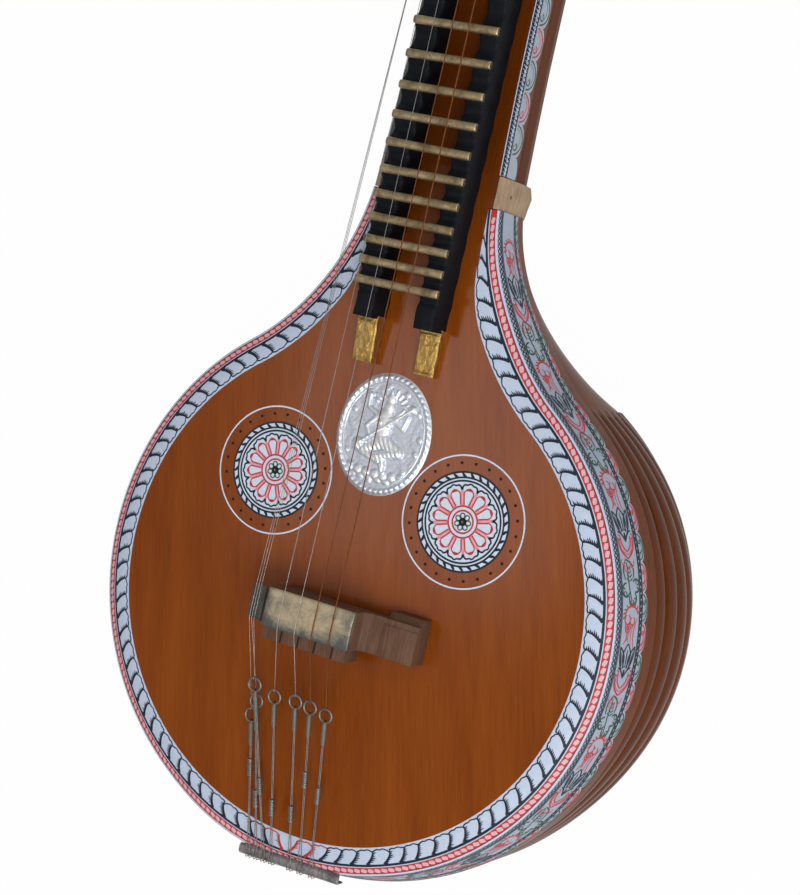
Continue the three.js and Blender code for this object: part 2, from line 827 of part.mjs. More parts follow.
// The least distance between points of a coil that lie at least half a turn apart, less the wire
function leastGap(points, wireRadius, stepsPerTurn) {
  let least = Infinity;
  points.forEach((point, i) => {
    points.slice(i + stepsPerTurn / 2).forEach((other) => {
      least = Math.min(least, point.distanceTo(other));
    });
  });
  return least - 2 * wireRadius;
}

function makeBead(frame, share) {
  const sleeveEnd = frame.ring.clone().addScaledVector(frame.along, ringRadius + sleeveLength);
  const place = sleeveEnd.lerp(frame.tail, share);
  const turnTo = new THREE.Quaternion().setFromUnitVectors(at(0, 1, 0), frame.along);
  return closed(tube(beadCoil(), beadWire, beadSides).applyQuaternion(turnTo)
    .translate(place.x, place.y, place.z));
}

// Strings

// Turns of string round a peg's shaft along X, which leave it on the tangent towards a point
function winding({ axis, shaftRadius, radius, direction, towards }) {
  const mean = (shaftRadius + windingGap + radius) / Math.cos(Math.PI / curlSteps);
  const pitch = 2 * radius + windingPitchGap;
  const count = windingTurns * curlSteps;
  const reach = Math.hypot(towards.y - axis.y, towards.z - axis.z);
  const last = Math.atan2(axis.y - towards.y, towards.z - axis.z) - Math.acos(mean / reach);
  return Array.from({ length: count + 1 }, (_, i) => {
    const back = (count - i) / curlSteps;
    const turn = last - 2 * Math.PI * back;
    return axis.clone().add(at(direction * pitch * back, -mean * Math.sin(turn), mean * Math.cos(turn)));
  });
}

function stringGeometry(route, radius, frame) {
  const ringEdge = frame.ring.clone().addScaledVector(frame.along, -ringRadius);
  const line = tube([...route, ringEdge], radius, stringSides);
  return joined(line, ...hanger(frame));
}

const pegboxStartY = neckEndY + seat;
const pegboxEndY = pegboxStartY + pegboxLength;
const pegHeight = boardTop - pegDepth;
const pegSpacing = (pegboxLength - 2 * pegFirstY) / (stringRadii.length - 1);
const pegY = (i) => pegboxStartY + pegFirstY + pegSpacing * i;
const mainRings = ringX.map((x, i) => at(x, ringY[i], boardTop + ringHeight));
const mainFrames = mainRings.map((point, i) => hangerFrame(point, hangerTailX[i]));
const sideRings = sideRingX.map((x, i) => at(x, sideRingY[i], boardTop + sideRingHeights[i]));
const sideFrames = sideRings.map((point, i) => hangerFrame(point, sideHangerTailX[i]));

function makeString(i) {
  const radius = stringRadii[i];
  const lift = seat + radius;
  const onPlate = [bridgeLineY, (bridgeLineY + bridgeBackY) / 2, bridgeBackY];
  const direction = i % 2 === 0 ? 1 : -1;
  const overNut = at(stringNutX[i], nutY + nutLength / 2 + lift, boardTop + nutHeight - nutLength / 4 + lift);
  const route = [
    ...winding({
      axis: at(stringNutX[i], pegY(i), pegHeight),
      shaftRadius: pegShaftRadius,
      radius,
      direction,
      towards: overNut,
    }),
    overNut,
    at(stringNutX[i], nutY, boardTop + nutHeight + lift),
    ...onPlate.map((y) => at(stringBridgeX[i], y, plateSurface(y) + lift)),
  ];
  return stringGeometry(route, radius, mainFrames[i]);
}

const sidePegZ = boardTop - sidePegDepth;

function makeSideString(i) {
  const radius = sideStringRadius;
  const lift = seat + radius;
  const y = sidePegY[i];
  const wallX = -neckHalfWidth(y);
  const reach = (bridgeLeft - seat - sideStringBridgeX[i]) / sideBridgeReach;
  const bridgeZ = boardTop + sideBridgeTop - sideBridgeFall * reach + lift + seat;
  const pinEdge = sideStringPinX[i] - pinRadius - lift;
  const pinZ = boardTop + pinHeight - pinRadius - radius;
  const coilX = wallX - sidePegStandOff / 3;
  const overEdge = at(coilX, y - pinSetback / 2, boardTop + 2 * lift);
  const route = [
    ...winding({
      axis: at(coilX, y, sidePegZ),
      shaftRadius: sidePegShaftRadius,
      radius,
      direction: -1,
      towards: overEdge,
    }),
    overEdge,
    at(pinEdge, y - pinSetback, pinZ),
    at(sideStringBridgeX[i], bridgeFrontY - sideBridgeInset, bridgeZ),
    at(sideStringBridgeX[i], bridgeBackY + sideBridgeInset, bridgeZ),
  ];
  return stringGeometry(route, radius, sideFrames[i]);
}

// Pegbox and pegs

const pegboxHalf = (y) => lerp(neckHalfWidthAtNut, pegboxEndHalfWidth, ramp(y, pegboxStartY, pegboxEndY));

function makePegbox() {
  const ringAt = (y) => sectionRing(halfSection({
    top: boardTop,
    topHalf: pegboxHalf(y),
    widestHalf: pegboxHalf(y),
    widestDrop: neckSideDepth,
    depth: lerp(neckDepthAtNut, pegboxEndDepth, ramp(y, pegboxStartY, pegboxEndY)),
    roundness: neckRoundness,
    topSlack: 0,
  }), y);
  const hollowAt = (y) => sectionRing(halfSection({
    top: boardTop,
    topHalf: pegboxHalf(y) - pegboxWall,
    widestHalf: pegboxHalf(y) - pegboxWall,
    widestDrop: pegboxSideDepth,
    depth: pegboxCavityDepth,
    roundness: neckRoundness,
    topSlack: overrun,
  }), y);
  const boreRadius = pegShaftRadius + pegClearance;
  const boreLength = 2 * neckHalfWidthAtNut + overrun;
  const bores = stringNutX.map((_, i) => {
    const bore = new THREE.CylinderGeometry(boreRadius, boreRadius, boreLength, roundSteps);
    return bore.rotateZ(Math.PI / 2).translate(0, pegY(i), pegHeight);
  });
  const outer = loft([pegboxStartY, pegboxEndY].map(ringAt));
  const hollow = loft([pegboxStartY + pegboxEndWall, pegboxEndY - pegboxEndWall].map(hollowAt));
  return cut(outer, hollow, ...bores);
}

// A peg's profile runs from its tip, outward along its axis: [radius, run] points
function pegProfile({ tip, face, shaft, collar, knob, knobLength }) {
  const neck = shaft * 1.1;
  const knobStart = face + pegCollarLength * 1.6;
  return [
    [0, tip],
    [shaft, tip],
    [shaft, face],
    [collar, face + pegCollarLength * 0.2],
    [collar, face + pegCollarLength],
    [neck, knobStart],
    [knob * 0.82, knobStart + knobLength * 0.2],
    [knob, knobStart + knobLength * 0.5],
    [knob * 0.78, knobStart + knobLength * 0.8],
    [knob * 0.3, knobStart + knobLength * 0.92],
    [knob * 0.24, knobStart + knobLength],
    [0, knobStart + knobLength],
  ];
}

function makePeg(i) {
  const half = pegboxHalf(pegY(i));
  const profile = pegProfile({
    tip: -half - pegTipReach,
    face: half + pegStandOff,
    shaft: pegShaftRadius,
    collar: pegCollarRadius,
    knob: pegKnobRadius,
    knobLength: pegKnobLength,
  });
  const side = i % 2 === 0 ? -1 : 1;
  return turned(profile, roundSteps).rotateY((side * Math.PI) / 2).translate(0, pegY(i), pegHeight);
}

function makeSidePeg(i) {
  const y = sidePegY[i];
  const half = neckHalfWidth(y);
  const profile = pegProfile({
    tip: half - sidePegInside,
    face: half + sidePegStandOff,
    shaft: sidePegShaftRadius,
    collar: sidePegCollarRadius,
    knob: sidePegKnobRadius,
    knobLength: sidePegKnobLength,
  });
  return turned(profile, roundSteps).rotateY(-Math.PI / 2).translate(0, y, sidePegZ);
}

// Gourd

function makeGourd() {
  const top = cupFace - seat;
  const mouth = screwRadius + pegClearance;
  const shell = (inset, reversed) => {
    const path = new THREE.Path();
    const rise = top - gourdWidestHeight - inset;
    const fall = gourdWidestHeight - inset;
    const shoulder = Math.acos(Math.min(1, cupMouthRadius / gourdRadius));
    const keel = Math.acos(gourdFootRadius / gourdRadius);
    path.absellipse(0, gourdWidestHeight, gourdRadius - inset, rise / Math.sin(shoulder), shoulder, 0, true);
    path.absellipse(0, gourdWidestHeight, gourdRadius - inset, fall / Math.sin(keel), 0, -keel, true);
    const points = path.getPoints(curveSteps / 2 - 1).map((point) => [point.x, point.y]);
    return reversed ? points.reverse() : points;
  };
  const profile = [
    [mouth, top],
    ...shell(0, false),
    [0, 0],
    [0, gourdWall],
    ...shell(gourdWall, true),
    [mouth, top - gourdWall],
    [mouth, top],
  ];
  return turned(profile, gourdSteps).translate(0, gourdY, 0);
}

// Carved head: a curved neck, skull, jaws, eyes, ears, fangs and crest

function makeHead() {
  const startY = pegboxEndY + seat;
  const startZ = boardTop - headStartDepth;
  const spine = new THREE.CatmullRomCurve3([
    at(0, startY, startZ),
    at(0, startY + headReach * 0.3, startZ),
    at(0, startY + headReach * 0.72, startZ - headFall * 0.18),
    at(0, startY + headReach * 0.95, startZ - headFall * 0.55),
    at(0, startY + headReach, startZ - headFall),
  ]);
  const neckRings = Array.from({ length: curveSteps + 1 }, (_, i) => {
    const share = i / curveSteps;
    const point = spine.getPointAt(share);
    const along = spine.getTangentAt(share);
    const up = at(1, 0, 0).cross(along);
    const waist = Math.sin(Math.PI * share);
    const halfX = lerp(headStartHalfWidth, skullRadius * 0.85, share) - skullRadius * 0.22 * waist;
    const halfUp = lerp(headStartDepth, skullRadius * 0.85, share) - skullRadius * 0.16 * waist;
    return Array.from({ length: roundSteps }, (__, k) => {
      const turn = (2 * Math.PI * k) / roundSteps;
      return point.clone().add(at(halfX * Math.cos(turn), 0, 0)).addScaledVector(up, halfUp * Math.sin(turn));
    });
  });
  const skullY = startY + headReach + skullRadius * 0.2;
  const skullZ = startZ - headFall;
  const ball = (x, y, z, rx, ry, rz, steps = ballSteps) =>
    new THREE.SphereGeometry(1, steps, steps * 0.75).scale(rx, ry, rz).translate(x, skullY + y, skullZ + z);
  const r = skullRadius;
  const jaw = (points, widths, heights) => loft(points.map(([y, z], i) =>
    Array.from({ length: roundSteps }, (_, k) => {
      const turn = (2 * Math.PI * k) / roundSteps;
      return at(widths[i] * Math.cos(turn), skullY + y, skullZ + z + heights[i] * Math.sin(turn));
    })));
  const snout = jaw(
    [[0, r * 0.1], [snoutLength * 0.45, r * 0.22], [snoutLength * 0.8, r * 0.3], [snoutLength, r * 0.62]],
    [r * 0.8, r * 0.56, r * 0.5, r * 0.3],
    [r * 0.72, r * 0.4, r * 0.34, r * 0.22],
  );
  const lower = jaw(
    [[0, -r * 0.45], [snoutLength * 0.45, -r * 0.75], [snoutLength * 0.78, -r * 0.86]],
    [r * 0.62, r * 0.42, r * 0.28],
    [r * 0.4, r * 0.2, r * 0.13],
  );
  const pair = (make) => [-1, 1].map(make);
  const eyes = pair((s) => ball(s * r * 0.62, r * 0.5, r * 0.62, eyeRadius, eyeRadius, eyeRadius));
  const brows = pair((s) => ball(s * r * 0.6, r * 0.32, r * 0.86, r * 0.3, r * 0.42, r * 0.2));
  const ears = pair((s) => new THREE.ConeGeometry(r * 0.32, earLength, ballSteps).scale(0.55, 1, 1)
    .rotateX(Math.PI / 2 + earLean).rotateY(s * earSplay)
    .translate(s * r * 0.72, skullY - r * 0.5, skullZ + r * 0.85));
  const fangs = pair((s) => new THREE.ConeGeometry(r * 0.11, fangLength, ballSteps).rotateX(-Math.PI / 2)
    .translate(s * r * 0.3, skullY + snoutLength * 0.72, skullZ + r * 0.1 - fangLength * 0.4));
  const nostrils = pair((s) => ball(s * r * 0.24, snoutLength * 0.9, r * 0.66, r * 0.16, r * 0.2, r * 0.14));
  const crest = [0.3, 0.45, 0.6, 0.75, 0.9].map((share) => {
    const point = spine.getPointAt(share);
    const up = at(1, 0, 0).cross(spine.getTangentAt(share));
    const lift = lerp(headStartDepth, r * 0.85, share) - r * 0.16 * Math.sin(Math.PI * share);
    const place = point.addScaledVector(up, lift);
    return new THREE.SphereGeometry(1, ballSteps, curveSteps / 2).scale(r * 0.14, r * 0.24, r * 0.24)
      .translate(0, place.y, place.z);
  });
  const skull = ball(0, 0, 0, r * 0.9, r, r, roundSteps);
  const face = [...eyes, ...brows, ...ears, ...fangs, ...nostrils];
  return joined(loft(neckRings), skull, snout, lower, ...face, ...crest);
}

// The instrument

const twoDigits = (n) => String(n).padStart(2, '0');

addNode('bowl', makeBowl(), wood);
addNode('soundboard', makeSoundboard(), wood);
addNode('joint_collar', makeCollar(), bareWood);
addNode('neck', makeNeck(), wood);
addNode('neck_top', makeNeckTop(), wood);
addNode('wax_rail_left', makeRail(-1), wax);
addNode('wax_rail_right', makeRail(1), wax);
for (let n = 1; n <= fretCount; n += 1) addNode(`fret_${twoDigits(n)}`, makeFret(n), brass);
addNode('nut', makeNut(), bone);
addNode('bridge_body', makeBridgeBody(), darkWood);
addNode('bridge_plate', makeBridgePlate(), brass);
addNode('side_bridge', makeSideBridge(), silverGrey);
addNode('tailpiece', makeTailpiece(), silverGrey);
addNode('pegbox', makePegbox(), wood);
addNode('yali_head', makeHead(), wood);
addNode('gourd', makeGourd(), gourdSkin);
stringRadii.forEach((_, i) => {
  addNode(`string_${i + 1}`, makeString(i), i < 2 ? steel : bronze);
  addNode(`tuning_bead_${i + 1}`, makeBead(mainFrames[i], beadRestShares[i]), steel);
  addNode(`peg_${i + 1}`, makePeg(i), darkWood);
});
sidePegY.forEach((_, i) => {
  addNode(`side_string_${i + 1}`, makeSideString(i), steel);
  addNode(`side_bead_${i + 1}`, makeBead(sideFrames[i], sideBeadRestShares[i]), steel);
  addNode(`side_peg_${i + 1}`, makeSidePeg(i), darkWood);
});

const beadGap = leastGap(beadCoil(), beadWire, beadSteps);
const windingGaps = stringRadii.map((radius) => leastGap(winding({
  axis: at(0, 0, 0), shaftRadius: pegShaftRadius, radius, direction: 1, towards: at(0, -nutHeight, nutHeight),
}), radius, curlSteps));
console.log(`least gap between the turns of a bead: ${beadGap.toFixed(2)} mm`);
console.log(`least gap between the turns on a peg: ${Math.min(...windingGaps).toFixed(2)} mm`);

export default group;
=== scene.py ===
"""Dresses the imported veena: carved and painted bowl, board, bridge, wax rails, frets, strings and tuners."""

import math

import bmesh
import bpy
import numpy as np
from bpy.props import FloatProperty, FloatVectorProperty, IntProperty, PointerProperty
from mathutils import Matrix


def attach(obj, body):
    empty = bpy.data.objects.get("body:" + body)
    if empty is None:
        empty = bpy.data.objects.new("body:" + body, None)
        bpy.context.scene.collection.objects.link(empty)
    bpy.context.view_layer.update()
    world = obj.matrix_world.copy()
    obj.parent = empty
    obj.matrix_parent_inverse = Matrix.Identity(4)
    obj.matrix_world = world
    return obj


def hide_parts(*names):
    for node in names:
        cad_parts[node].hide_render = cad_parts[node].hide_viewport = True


bl_info = {
    "name": "Veena",
    "version": (1, 0, 0),
    "blender": (4, 5, 0),
    "location": "3D View > Sidebar > Veena",
    "description": "Builds the surfaces and finishes of a South Indian veena round its fixed frame",
    "category": "Add Mesh",
}

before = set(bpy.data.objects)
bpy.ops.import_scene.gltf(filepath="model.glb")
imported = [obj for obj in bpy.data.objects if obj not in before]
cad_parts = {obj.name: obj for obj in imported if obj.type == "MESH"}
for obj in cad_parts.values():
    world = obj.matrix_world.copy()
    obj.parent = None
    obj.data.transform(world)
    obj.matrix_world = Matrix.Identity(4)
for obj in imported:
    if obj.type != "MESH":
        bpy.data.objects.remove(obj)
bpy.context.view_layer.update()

# Sizes in millimetres: y runs up the neck from the bowl's middle and z up from its foot

MM = 0.001
BOARD_TOP = 200.0
RIM_RADIUS = 183.0
TAIL_SHARE = 0.97
NECK_ROOT, NECK_WAIST, NECK_END = 44.5, 41.0, 38.5
FILLET = 160.0
FILLET_X = NECK_ROOT + FILLET
FILLET_Y = math.sqrt((RIM_RADIUS + FILLET) ** 2 - FILLET_X ** 2)
RIDGE_Y = 151.2
JOINT_Y = 262.0
WAIST_Y = 395.0
NUT_Y = 839.0
PEGBOX_Y = 848.3
TONGUE_Y = 283.0
TONGUE_HALF = 40.6
BAND_FLARE, BAND_DEPTH = 0.25, 38.0
WIDEST_DEPTH = 90.0
FOOT_RADIUS = 30.0
BRIDGE_LINE_Y = -11.0
BRIDGE_Y, BRIDGE_HALF = -15.0, 12.5
STRING_LENGTH = 850.0
FRET_COUNT = 24
PEG_Z, SIDE_PEG_Z = 176.0, 187.0
SIDE_PEG_Y = (520.0, 600.0, 680.0)
GOURD_Y = 725.0
STRIP = 17.6
LEAF_LINE = 6.9
LIFT = 0.3
RING_RADIUS = 4.4
TAIL_TOP = 202.8
NECK_PETAL = 20.5
QUARTER = math.pi / 2
TURN = 2 * math.pi


def clamp01(values):
    return np.clip(values, 0.0, 1.0)


def smooth01(values):
    """Clamp to 0..1, then three squares less two cubes."""
    t = clamp01(values)
    return t * t * (3.0 - 2.0 * t)


def lerp(a, b, share):
    return a + (b - a) * share


def hash_noise(values, seed):
    """Repeatable noise from -1 to 1: the fraction of a large sine of each value."""
    raw = np.sin(np.asarray(values, dtype=float) * 12.9898 + seed * 78.233) * 43758.5453
    return 2.0 * (raw - np.floor(raw)) - 1.0


def soft_noise(x, y, seed):
    """Three products of sines with turned axes and halved strengths: a smooth random field."""
    total = np.zeros(np.broadcast(x, y).shape)
    for k in range(3):
        turn = 1.3 * k + seed
        u = (x * math.cos(turn) + y * math.sin(turn)) * 1.9 ** k
        v = (y * math.cos(turn) - x * math.sin(turn)) * 1.9 ** k
        wave = np.sin(u + seed * 3.1 + 1.7 * np.sin(v * 0.7 + k))
        total = total + wave * np.sin(v * 1.3 + 2.3 * np.sin(u * 0.6)) / 2 ** k
    return total / 1.5


def unit(vectors):
    return vectors / np.maximum(np.linalg.norm(vectors, axis=-1, keepdims=True), 1e-12)


def joined(x, y, z):
    """Points from three arrays that are stretched to one shape."""
    return np.stack(np.broadcast_arrays(x, y, z), axis=-1)


class Skin:
    """Gathers grids of corners into one mesh. Grid (i, j) makes a face with its next row and next column."""

    def __init__(self):
        self.corners, self.faces, self.maps, self.finishes = [], [], [], []
        self.count = 0

    def add(self, points, quads, maps, finish):
        """Stores a part's corners and its faces, which number its own corners from 0."""
        self.corners.append(points.reshape(-1, 3))
        self.faces.append(quads + self.count)
        self.maps.append(maps)
        self.finishes.append(np.full(len(quads), finish))
        self.count += len(self.corners[-1])
        return self

    def grid(self, points, uv=None, wrap_rows=False, wrap_columns=False, finish=0, flip=False):
        points = np.asarray(points, dtype=float)
        m, n = points.shape[:2]
        rows, columns = (m if wrap_rows else m - 1), (n if wrap_columns else n - 1)
        i, j = np.arange(rows)[:, None], np.arange(columns)[None, :]
        index = np.arange(m * n).reshape(m, n)
        low, right = (i + 1) % m, (j + 1) % n
        quads = np.stack([index[i, j], index[low, j], index[low, right], index[i, right]], -1).reshape(-1, 4)
        if uv is None:
            uv = np.zeros((rows + 1, columns + 1, 2))
        maps = np.stack([uv[i, j], uv[i + 1, j], uv[i + 1, j + 1], uv[i, j + 1]], -2).reshape(-1, 4, 2)
        if flip:
            quads, maps = quads[:, ::-1], maps[:, ::-1]
        return self.add(points, quads, maps, finish)

    def loft(self, points):
        """Closed sections in a row. The first end is drawn in to its middle, and the last stays open."""
        first = np.repeat(points[:1].mean(axis=1, keepdims=True), points.shape[1], axis=1)
        return self.grid(np.concatenate([first, points]), wrap_columns=True)

    def tube(self, path, radius, sides=8, finish=0, closed=False):
        """A circle carried along a path, on axes that point sideways and upward from the path."""
        path = np.asarray(path, dtype=float)
        radius = np.broadcast_to(np.asarray(radius, dtype=float), (len(path),))
        if closed:
            ahead = unit(np.roll(path, -1, axis=0) - np.roll(path, 1, axis=0))
        else:
            ahead = unit(np.gradient(path, axis=0))
        reference = np.array([0.0, 0.0, 1.0])
        if abs(ahead[:, 2]).max() > 0.9:
            reference = np.eye(3)[int(np.argmin(np.abs(ahead).max(axis=0)))]
        sideways = unit(np.cross(reference, ahead))
        upward = np.cross(ahead, sideways)
        turn = TURN * np.arange(sides)[None, :, None] / sides
        ring = sideways[:, None] * np.cos(turn) + upward[:, None] * np.sin(turn)
        points = path[:, None] + ring * radius[:, None, None]
        along = np.concatenate([[0.0], np.cumsum(np.linalg.norm(np.diff(path, axis=0), axis=1))])
        if closed:
            along = np.append(along, along[-1] + np.linalg.norm(path[0] - path[-1]))
        else:
            first, last = np.repeat(path[:1, None], sides, axis=1), np.repeat(path[-1:, None], sides, axis=1)
            points = np.concatenate([first, points, last])
            along = np.concatenate([along[:1], along, along[-1:]])
        uv = np.stack(np.broadcast_arrays(along[:, None], np.arange(sides + 1)[None, :] / sides), axis=-1)
        return self.grid(points, uv, wrap_rows=closed, wrap_columns=True, finish=finish)

    def ribbons(self, middle, half, place, finish, lift):
        """Flat strokes: polylines widened by a half width, then laid on a surface by place(u, v, lift)."""
        middle = np.asarray(middle, dtype=float)
        if middle.ndim == 2:
            middle = middle[None]
        ahead = unit(np.gradient(middle, axis=1))
        normal = np.stack([-ahead[..., 1], ahead[..., 0]], axis=-1)
        half = np.broadcast_to(np.asarray(half, dtype=float), middle.shape[:2])[..., None]
        edges = np.stack([middle - normal * half, middle + normal * half], axis=2)
        points = place(edges[..., 0], edges[..., 1], lift)
        index = np.arange(points[..., 0].size).reshape(points.shape[:3])
        corners = [index[:, :-1, 0], index[:, 1:, 0], index[:, 1:, 1], index[:, :-1, 1]]
        quads = np.stack(corners, axis=-1).reshape(-1, 4)
        return self.add(points, quads, np.zeros((len(quads), 4, 2)), finish)

    def build(self, name, materials, slot, replaces=(), body="body", weld=True, upward=False, sharp=40.0):
        """Makes the object in metres, welds doubled corners, and turns its faces outward or up."""
        mesh = bpy.data.meshes.new(name)
        corners, faces = np.concatenate(self.corners) * MM, np.concatenate(self.faces)
        mesh.vertices.add(len(corners))
        mesh.vertices.foreach_set("co", corners.ravel())
        mesh.loops.add(faces.size)
        mesh.loops.foreach_set("vertex_index", faces.ravel())
        mesh.polygons.add(len(faces))
        mesh.polygons.foreach_set("loop_start", np.arange(len(faces)) * 4)
        mesh.polygons.foreach_set("material_index", np.concatenate(self.finishes))
        mesh.uv_layers.new(name="surface").data.foreach_set("uv", np.concatenate(self.maps).ravel())
        mesh.update(calc_edges=True)

        def clean(work):
            bmesh.ops.remove_doubles(work, verts=work.verts, dist=2e-6)
            bmesh.ops.dissolve_degenerate(work, edges=work.edges, dist=1e-7)
            if not upward:
                bmesh.ops.recalc_face_normals(work, faces=work.faces)
            elif sum(face.calc_area() * face.normal.z for face in work.faces) < 0:
                bmesh.ops.reverse_faces(work, faces=work.faces)

        if weld:
            reworked(mesh, clean)
        mesh.validate()
        return present(name, mesh, materials, sharp, body, replaces)


def reworked(mesh, change):
    """Opens a mesh for editing, lets a function change it, and writes it back."""
    work = bmesh.new()
    work.from_mesh(mesh)
    change(work)
    work.to_mesh(mesh)
    work.free()


def present(name, mesh, materials, sharp, body, replaces):
    """Smooths a mesh up to its sharp edges, gives it its materials and puts it in the scene on its body."""
    mesh.polygons.foreach_set("use_smooth", [True] * len(mesh.polygons))
    if sharp:
        mesh.set_sharp_from_angle(angle=math.radians(sharp))
    for material in materials:
        mesh.materials.append(material)
    piece = bpy.data.objects.new(name, mesh)
    bpy.context.scene.collection.objects.link(piece)
    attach(piece, body)
    if replaces:
        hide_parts(*replaces)
    return piece


def node_copy(node):
    """A bare copy of a frame node's mesh in the frame's own place."""
    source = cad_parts[node]
    mesh = source.data.copy()
    mesh.transform(source.matrix_world)
    mesh.materials.clear()
    return mesh


def dressed_copy(node, name, material, bevel, segments=2, angle=30.0):
    """A welded copy of a frame node with its edges rounded by a bevel."""
    def clean(work):
        bmesh.ops.remove_doubles(work, verts=work.verts, dist=5e-6)
        bmesh.ops.dissolve_limit(work, angle_limit=math.radians(2.0), verts=work.verts, edges=work.edges)
        sharp = [e for e in work.edges if e.is_manifold and e.calc_face_angle(0.0) > math.radians(angle)]
        bmesh.ops.bevel(work, geom=sharp, offset=bevel * MM, segments=segments, profile=0.5, affect="EDGES",
                        clamp_overlap=True)
        bmesh.ops.recalc_face_normals(work, faces=work.faces)

    mesh = node_copy(node)
    mesh.name = name
    reworked(mesh, clean)
    return present(name, mesh, [material], 35.0, "body", (node,))


def finish_node(node, material):
    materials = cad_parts[node].data.materials
    materials.clear()
    materials.append(material)


# Shader writing


def connect(tree, item, socket):
    if isinstance(item, Value):
        tree.links.new(item.socket, socket)
    elif hasattr(item, "__len__") and len(item) == 3 and socket.type == "RGBA":
        socket.default_value = (*item, 1.0)
    else:
        socket.default_value = item


class Value:
    """A socket whose arithmetic adds Math nodes."""

    def __init__(self, tree, socket):
        self.tree, self.socket = tree, socket

    def math(self, operation, *items, clamp=False):
        node = self.tree.nodes.new("ShaderNodeMath")
        node.operation = operation
        node.use_clamp = clamp
        for socket, item in zip(node.inputs, items):
            connect(self.tree, item, socket)
        return Value(self.tree, node.outputs[0])

    def __add__(self, other):
        return self.math("ADD", self, other)

    def __mul__(self, other):
        return self.math("MULTIPLY", self, other)

    __radd__, __rmul__ = __add__, __mul__

    def __sub__(self, other):
        return self.math("SUBTRACT", self, other)

    def __rsub__(self, other):
        return self.math("SUBTRACT", other, self)

    def __truediv__(self, other):
        return self.math("DIVIDE", self, other)

    def __abs__(self):
        return self.math("ABSOLUTE", self)

    def fraction(self):
        return self.math("FRACT", self)

    def sine(self):
        return self.math("SINE", self)

    def root(self):
        return self.math("SQRT", self)

    def clip(self):
        return self.math("ADD", self, 0.0, clamp=True)

    def rises(self, edge, width):
        """0 below the edge, 1 above it, with a straight ramp of the given width."""
        return ((self - edge) / width + 0.5).clip()


class Finish:
    """Writes the nodes of one material or of the world."""

    def __init__(self, name, store=None):
        self.owner = (bpy.data.materials if store is None else store).new(name)
        self.owner.use_nodes = True
        self.tree = self.owner.node_tree
        self.tree.nodes.clear()

    def node(self, kind, settings=None, inputs=None, output=0):
        node = self.tree.nodes.new(kind)
        for key, item in (settings or {}).items():
            setattr(node, key, item)
        for key, item in (inputs or {}).items():
            connect(self.tree, item, node.inputs[key])
        return Value(self.tree, node.outputs[output])

    def close(self, shader, kind="ShaderNodeOutputMaterial"):
        self.tree.links.new(shader.socket, self.tree.nodes.new(kind).inputs[0])
        return self.owner

    def split(self, vector):
        node = self.tree.nodes.new("ShaderNodeSeparateXYZ")
        self.tree.links.new(vector.socket, node.inputs[0])
        return [Value(self.tree, out) for out in node.outputs]

    def place(self):
        """The object's own coordinates in millimetres: x, y and z."""
        return [axis * 1000.0 for axis in self.split(self.node("ShaderNodeTexCoord", output="Object"))]

    def surface(self):
        """The piece's own UV map: the distance along it and the distance across it."""
        return self.split(self.node("ShaderNodeUVMap", {"uv_map": "surface"}))[:2]

    def vector(self, place, scale):
        """A place with each axis scaled, by one number or by three."""
        scales = scale if isinstance(scale, tuple) else (scale,) * 3
        axes = {k: axis * factor for k, (axis, factor) in enumerate(zip(place, scales))}
        return self.node("ShaderNodeCombineXYZ", inputs=axes)

    def noise(self, place, scale, detail=3.0, rough=0.6, distortion=0.0):
        return self.node("ShaderNodeTexNoise", inputs={
            "Vector": self.vector(place, scale), "Scale": 1.0, "Detail": detail, "Roughness": rough,
            "Distortion": distortion}, output="Fac")

    def cells(self, place, scale):
        return self.node("ShaderNodeTexVoronoi", inputs={"Vector": self.vector(place, scale), "Scale": 1.0},
                         output="Distance")

    def blend(self, factor, first, second):
        node = self.tree.nodes.new("ShaderNodeMix")
        node.data_type = "RGBA"
        for number, item in ((0, factor), (6, first), (7, second)):
            connect(self.tree, item, node.inputs[number])
        return Value(self.tree, node.outputs[2])

    def ramp(self, factor, *stops):
        node = self.tree.nodes.new("ShaderNodeValToRGB")
        elements = node.color_ramp.elements
        elements.remove(elements[-1])
        for number, (place, colour) in enumerate(stops):
            element = elements[0] if number == 0 else elements.new(place)
            element.position = place
            element.color = (*colour, 1.0)
        connect(self.tree, factor, node.inputs[0])
        return Value(self.tree, node.outputs[0])

    def bump(self, height, strength, distance):
        return self.node("ShaderNodeBump", inputs={
            "Strength": strength, "Distance": distance * MM, "Height": height}, output="Normal")

    def shade(self, base, rough, metal=0.0, coat=0.0, coat_rough=0.05, normal=None, specular=0.5):
        inputs = {"Base Color": base, "Roughness": rough, "Metallic": metal, "Coat Weight": coat,
                  "Coat Roughness": coat_rough, "Specular IOR Level": specular}
        if normal is not None:
            inputs["Normal"] = normal
        return self.close(self.node("ShaderNodeBsdfPrincipled", inputs=inputs))


def known(maker):
    """Makes a material once and hands the same one out afterwards."""
    store = {}

    def wrapper(*key):
        if key not in store:
            store[key] = maker(*key)
        return store[key]

    return wrapper


def pigment(name):
    """One of the panel's colours."""
    return tuple(getattr(bpy.context.scene.veena_colours, name))


def measure(name):
    """One of the panel's sizes, in millimetres where it is a length."""
    value = getattr(bpy.context.scene.veena_sizes, name)
    return value if isinstance(value, int) else value * 1000.0


def scaled(colour, factor):
    """A colour times one number or three, up to full strength."""
    return tuple(float(c) for c in np.minimum(np.multiply(colour, factor), 1.0))


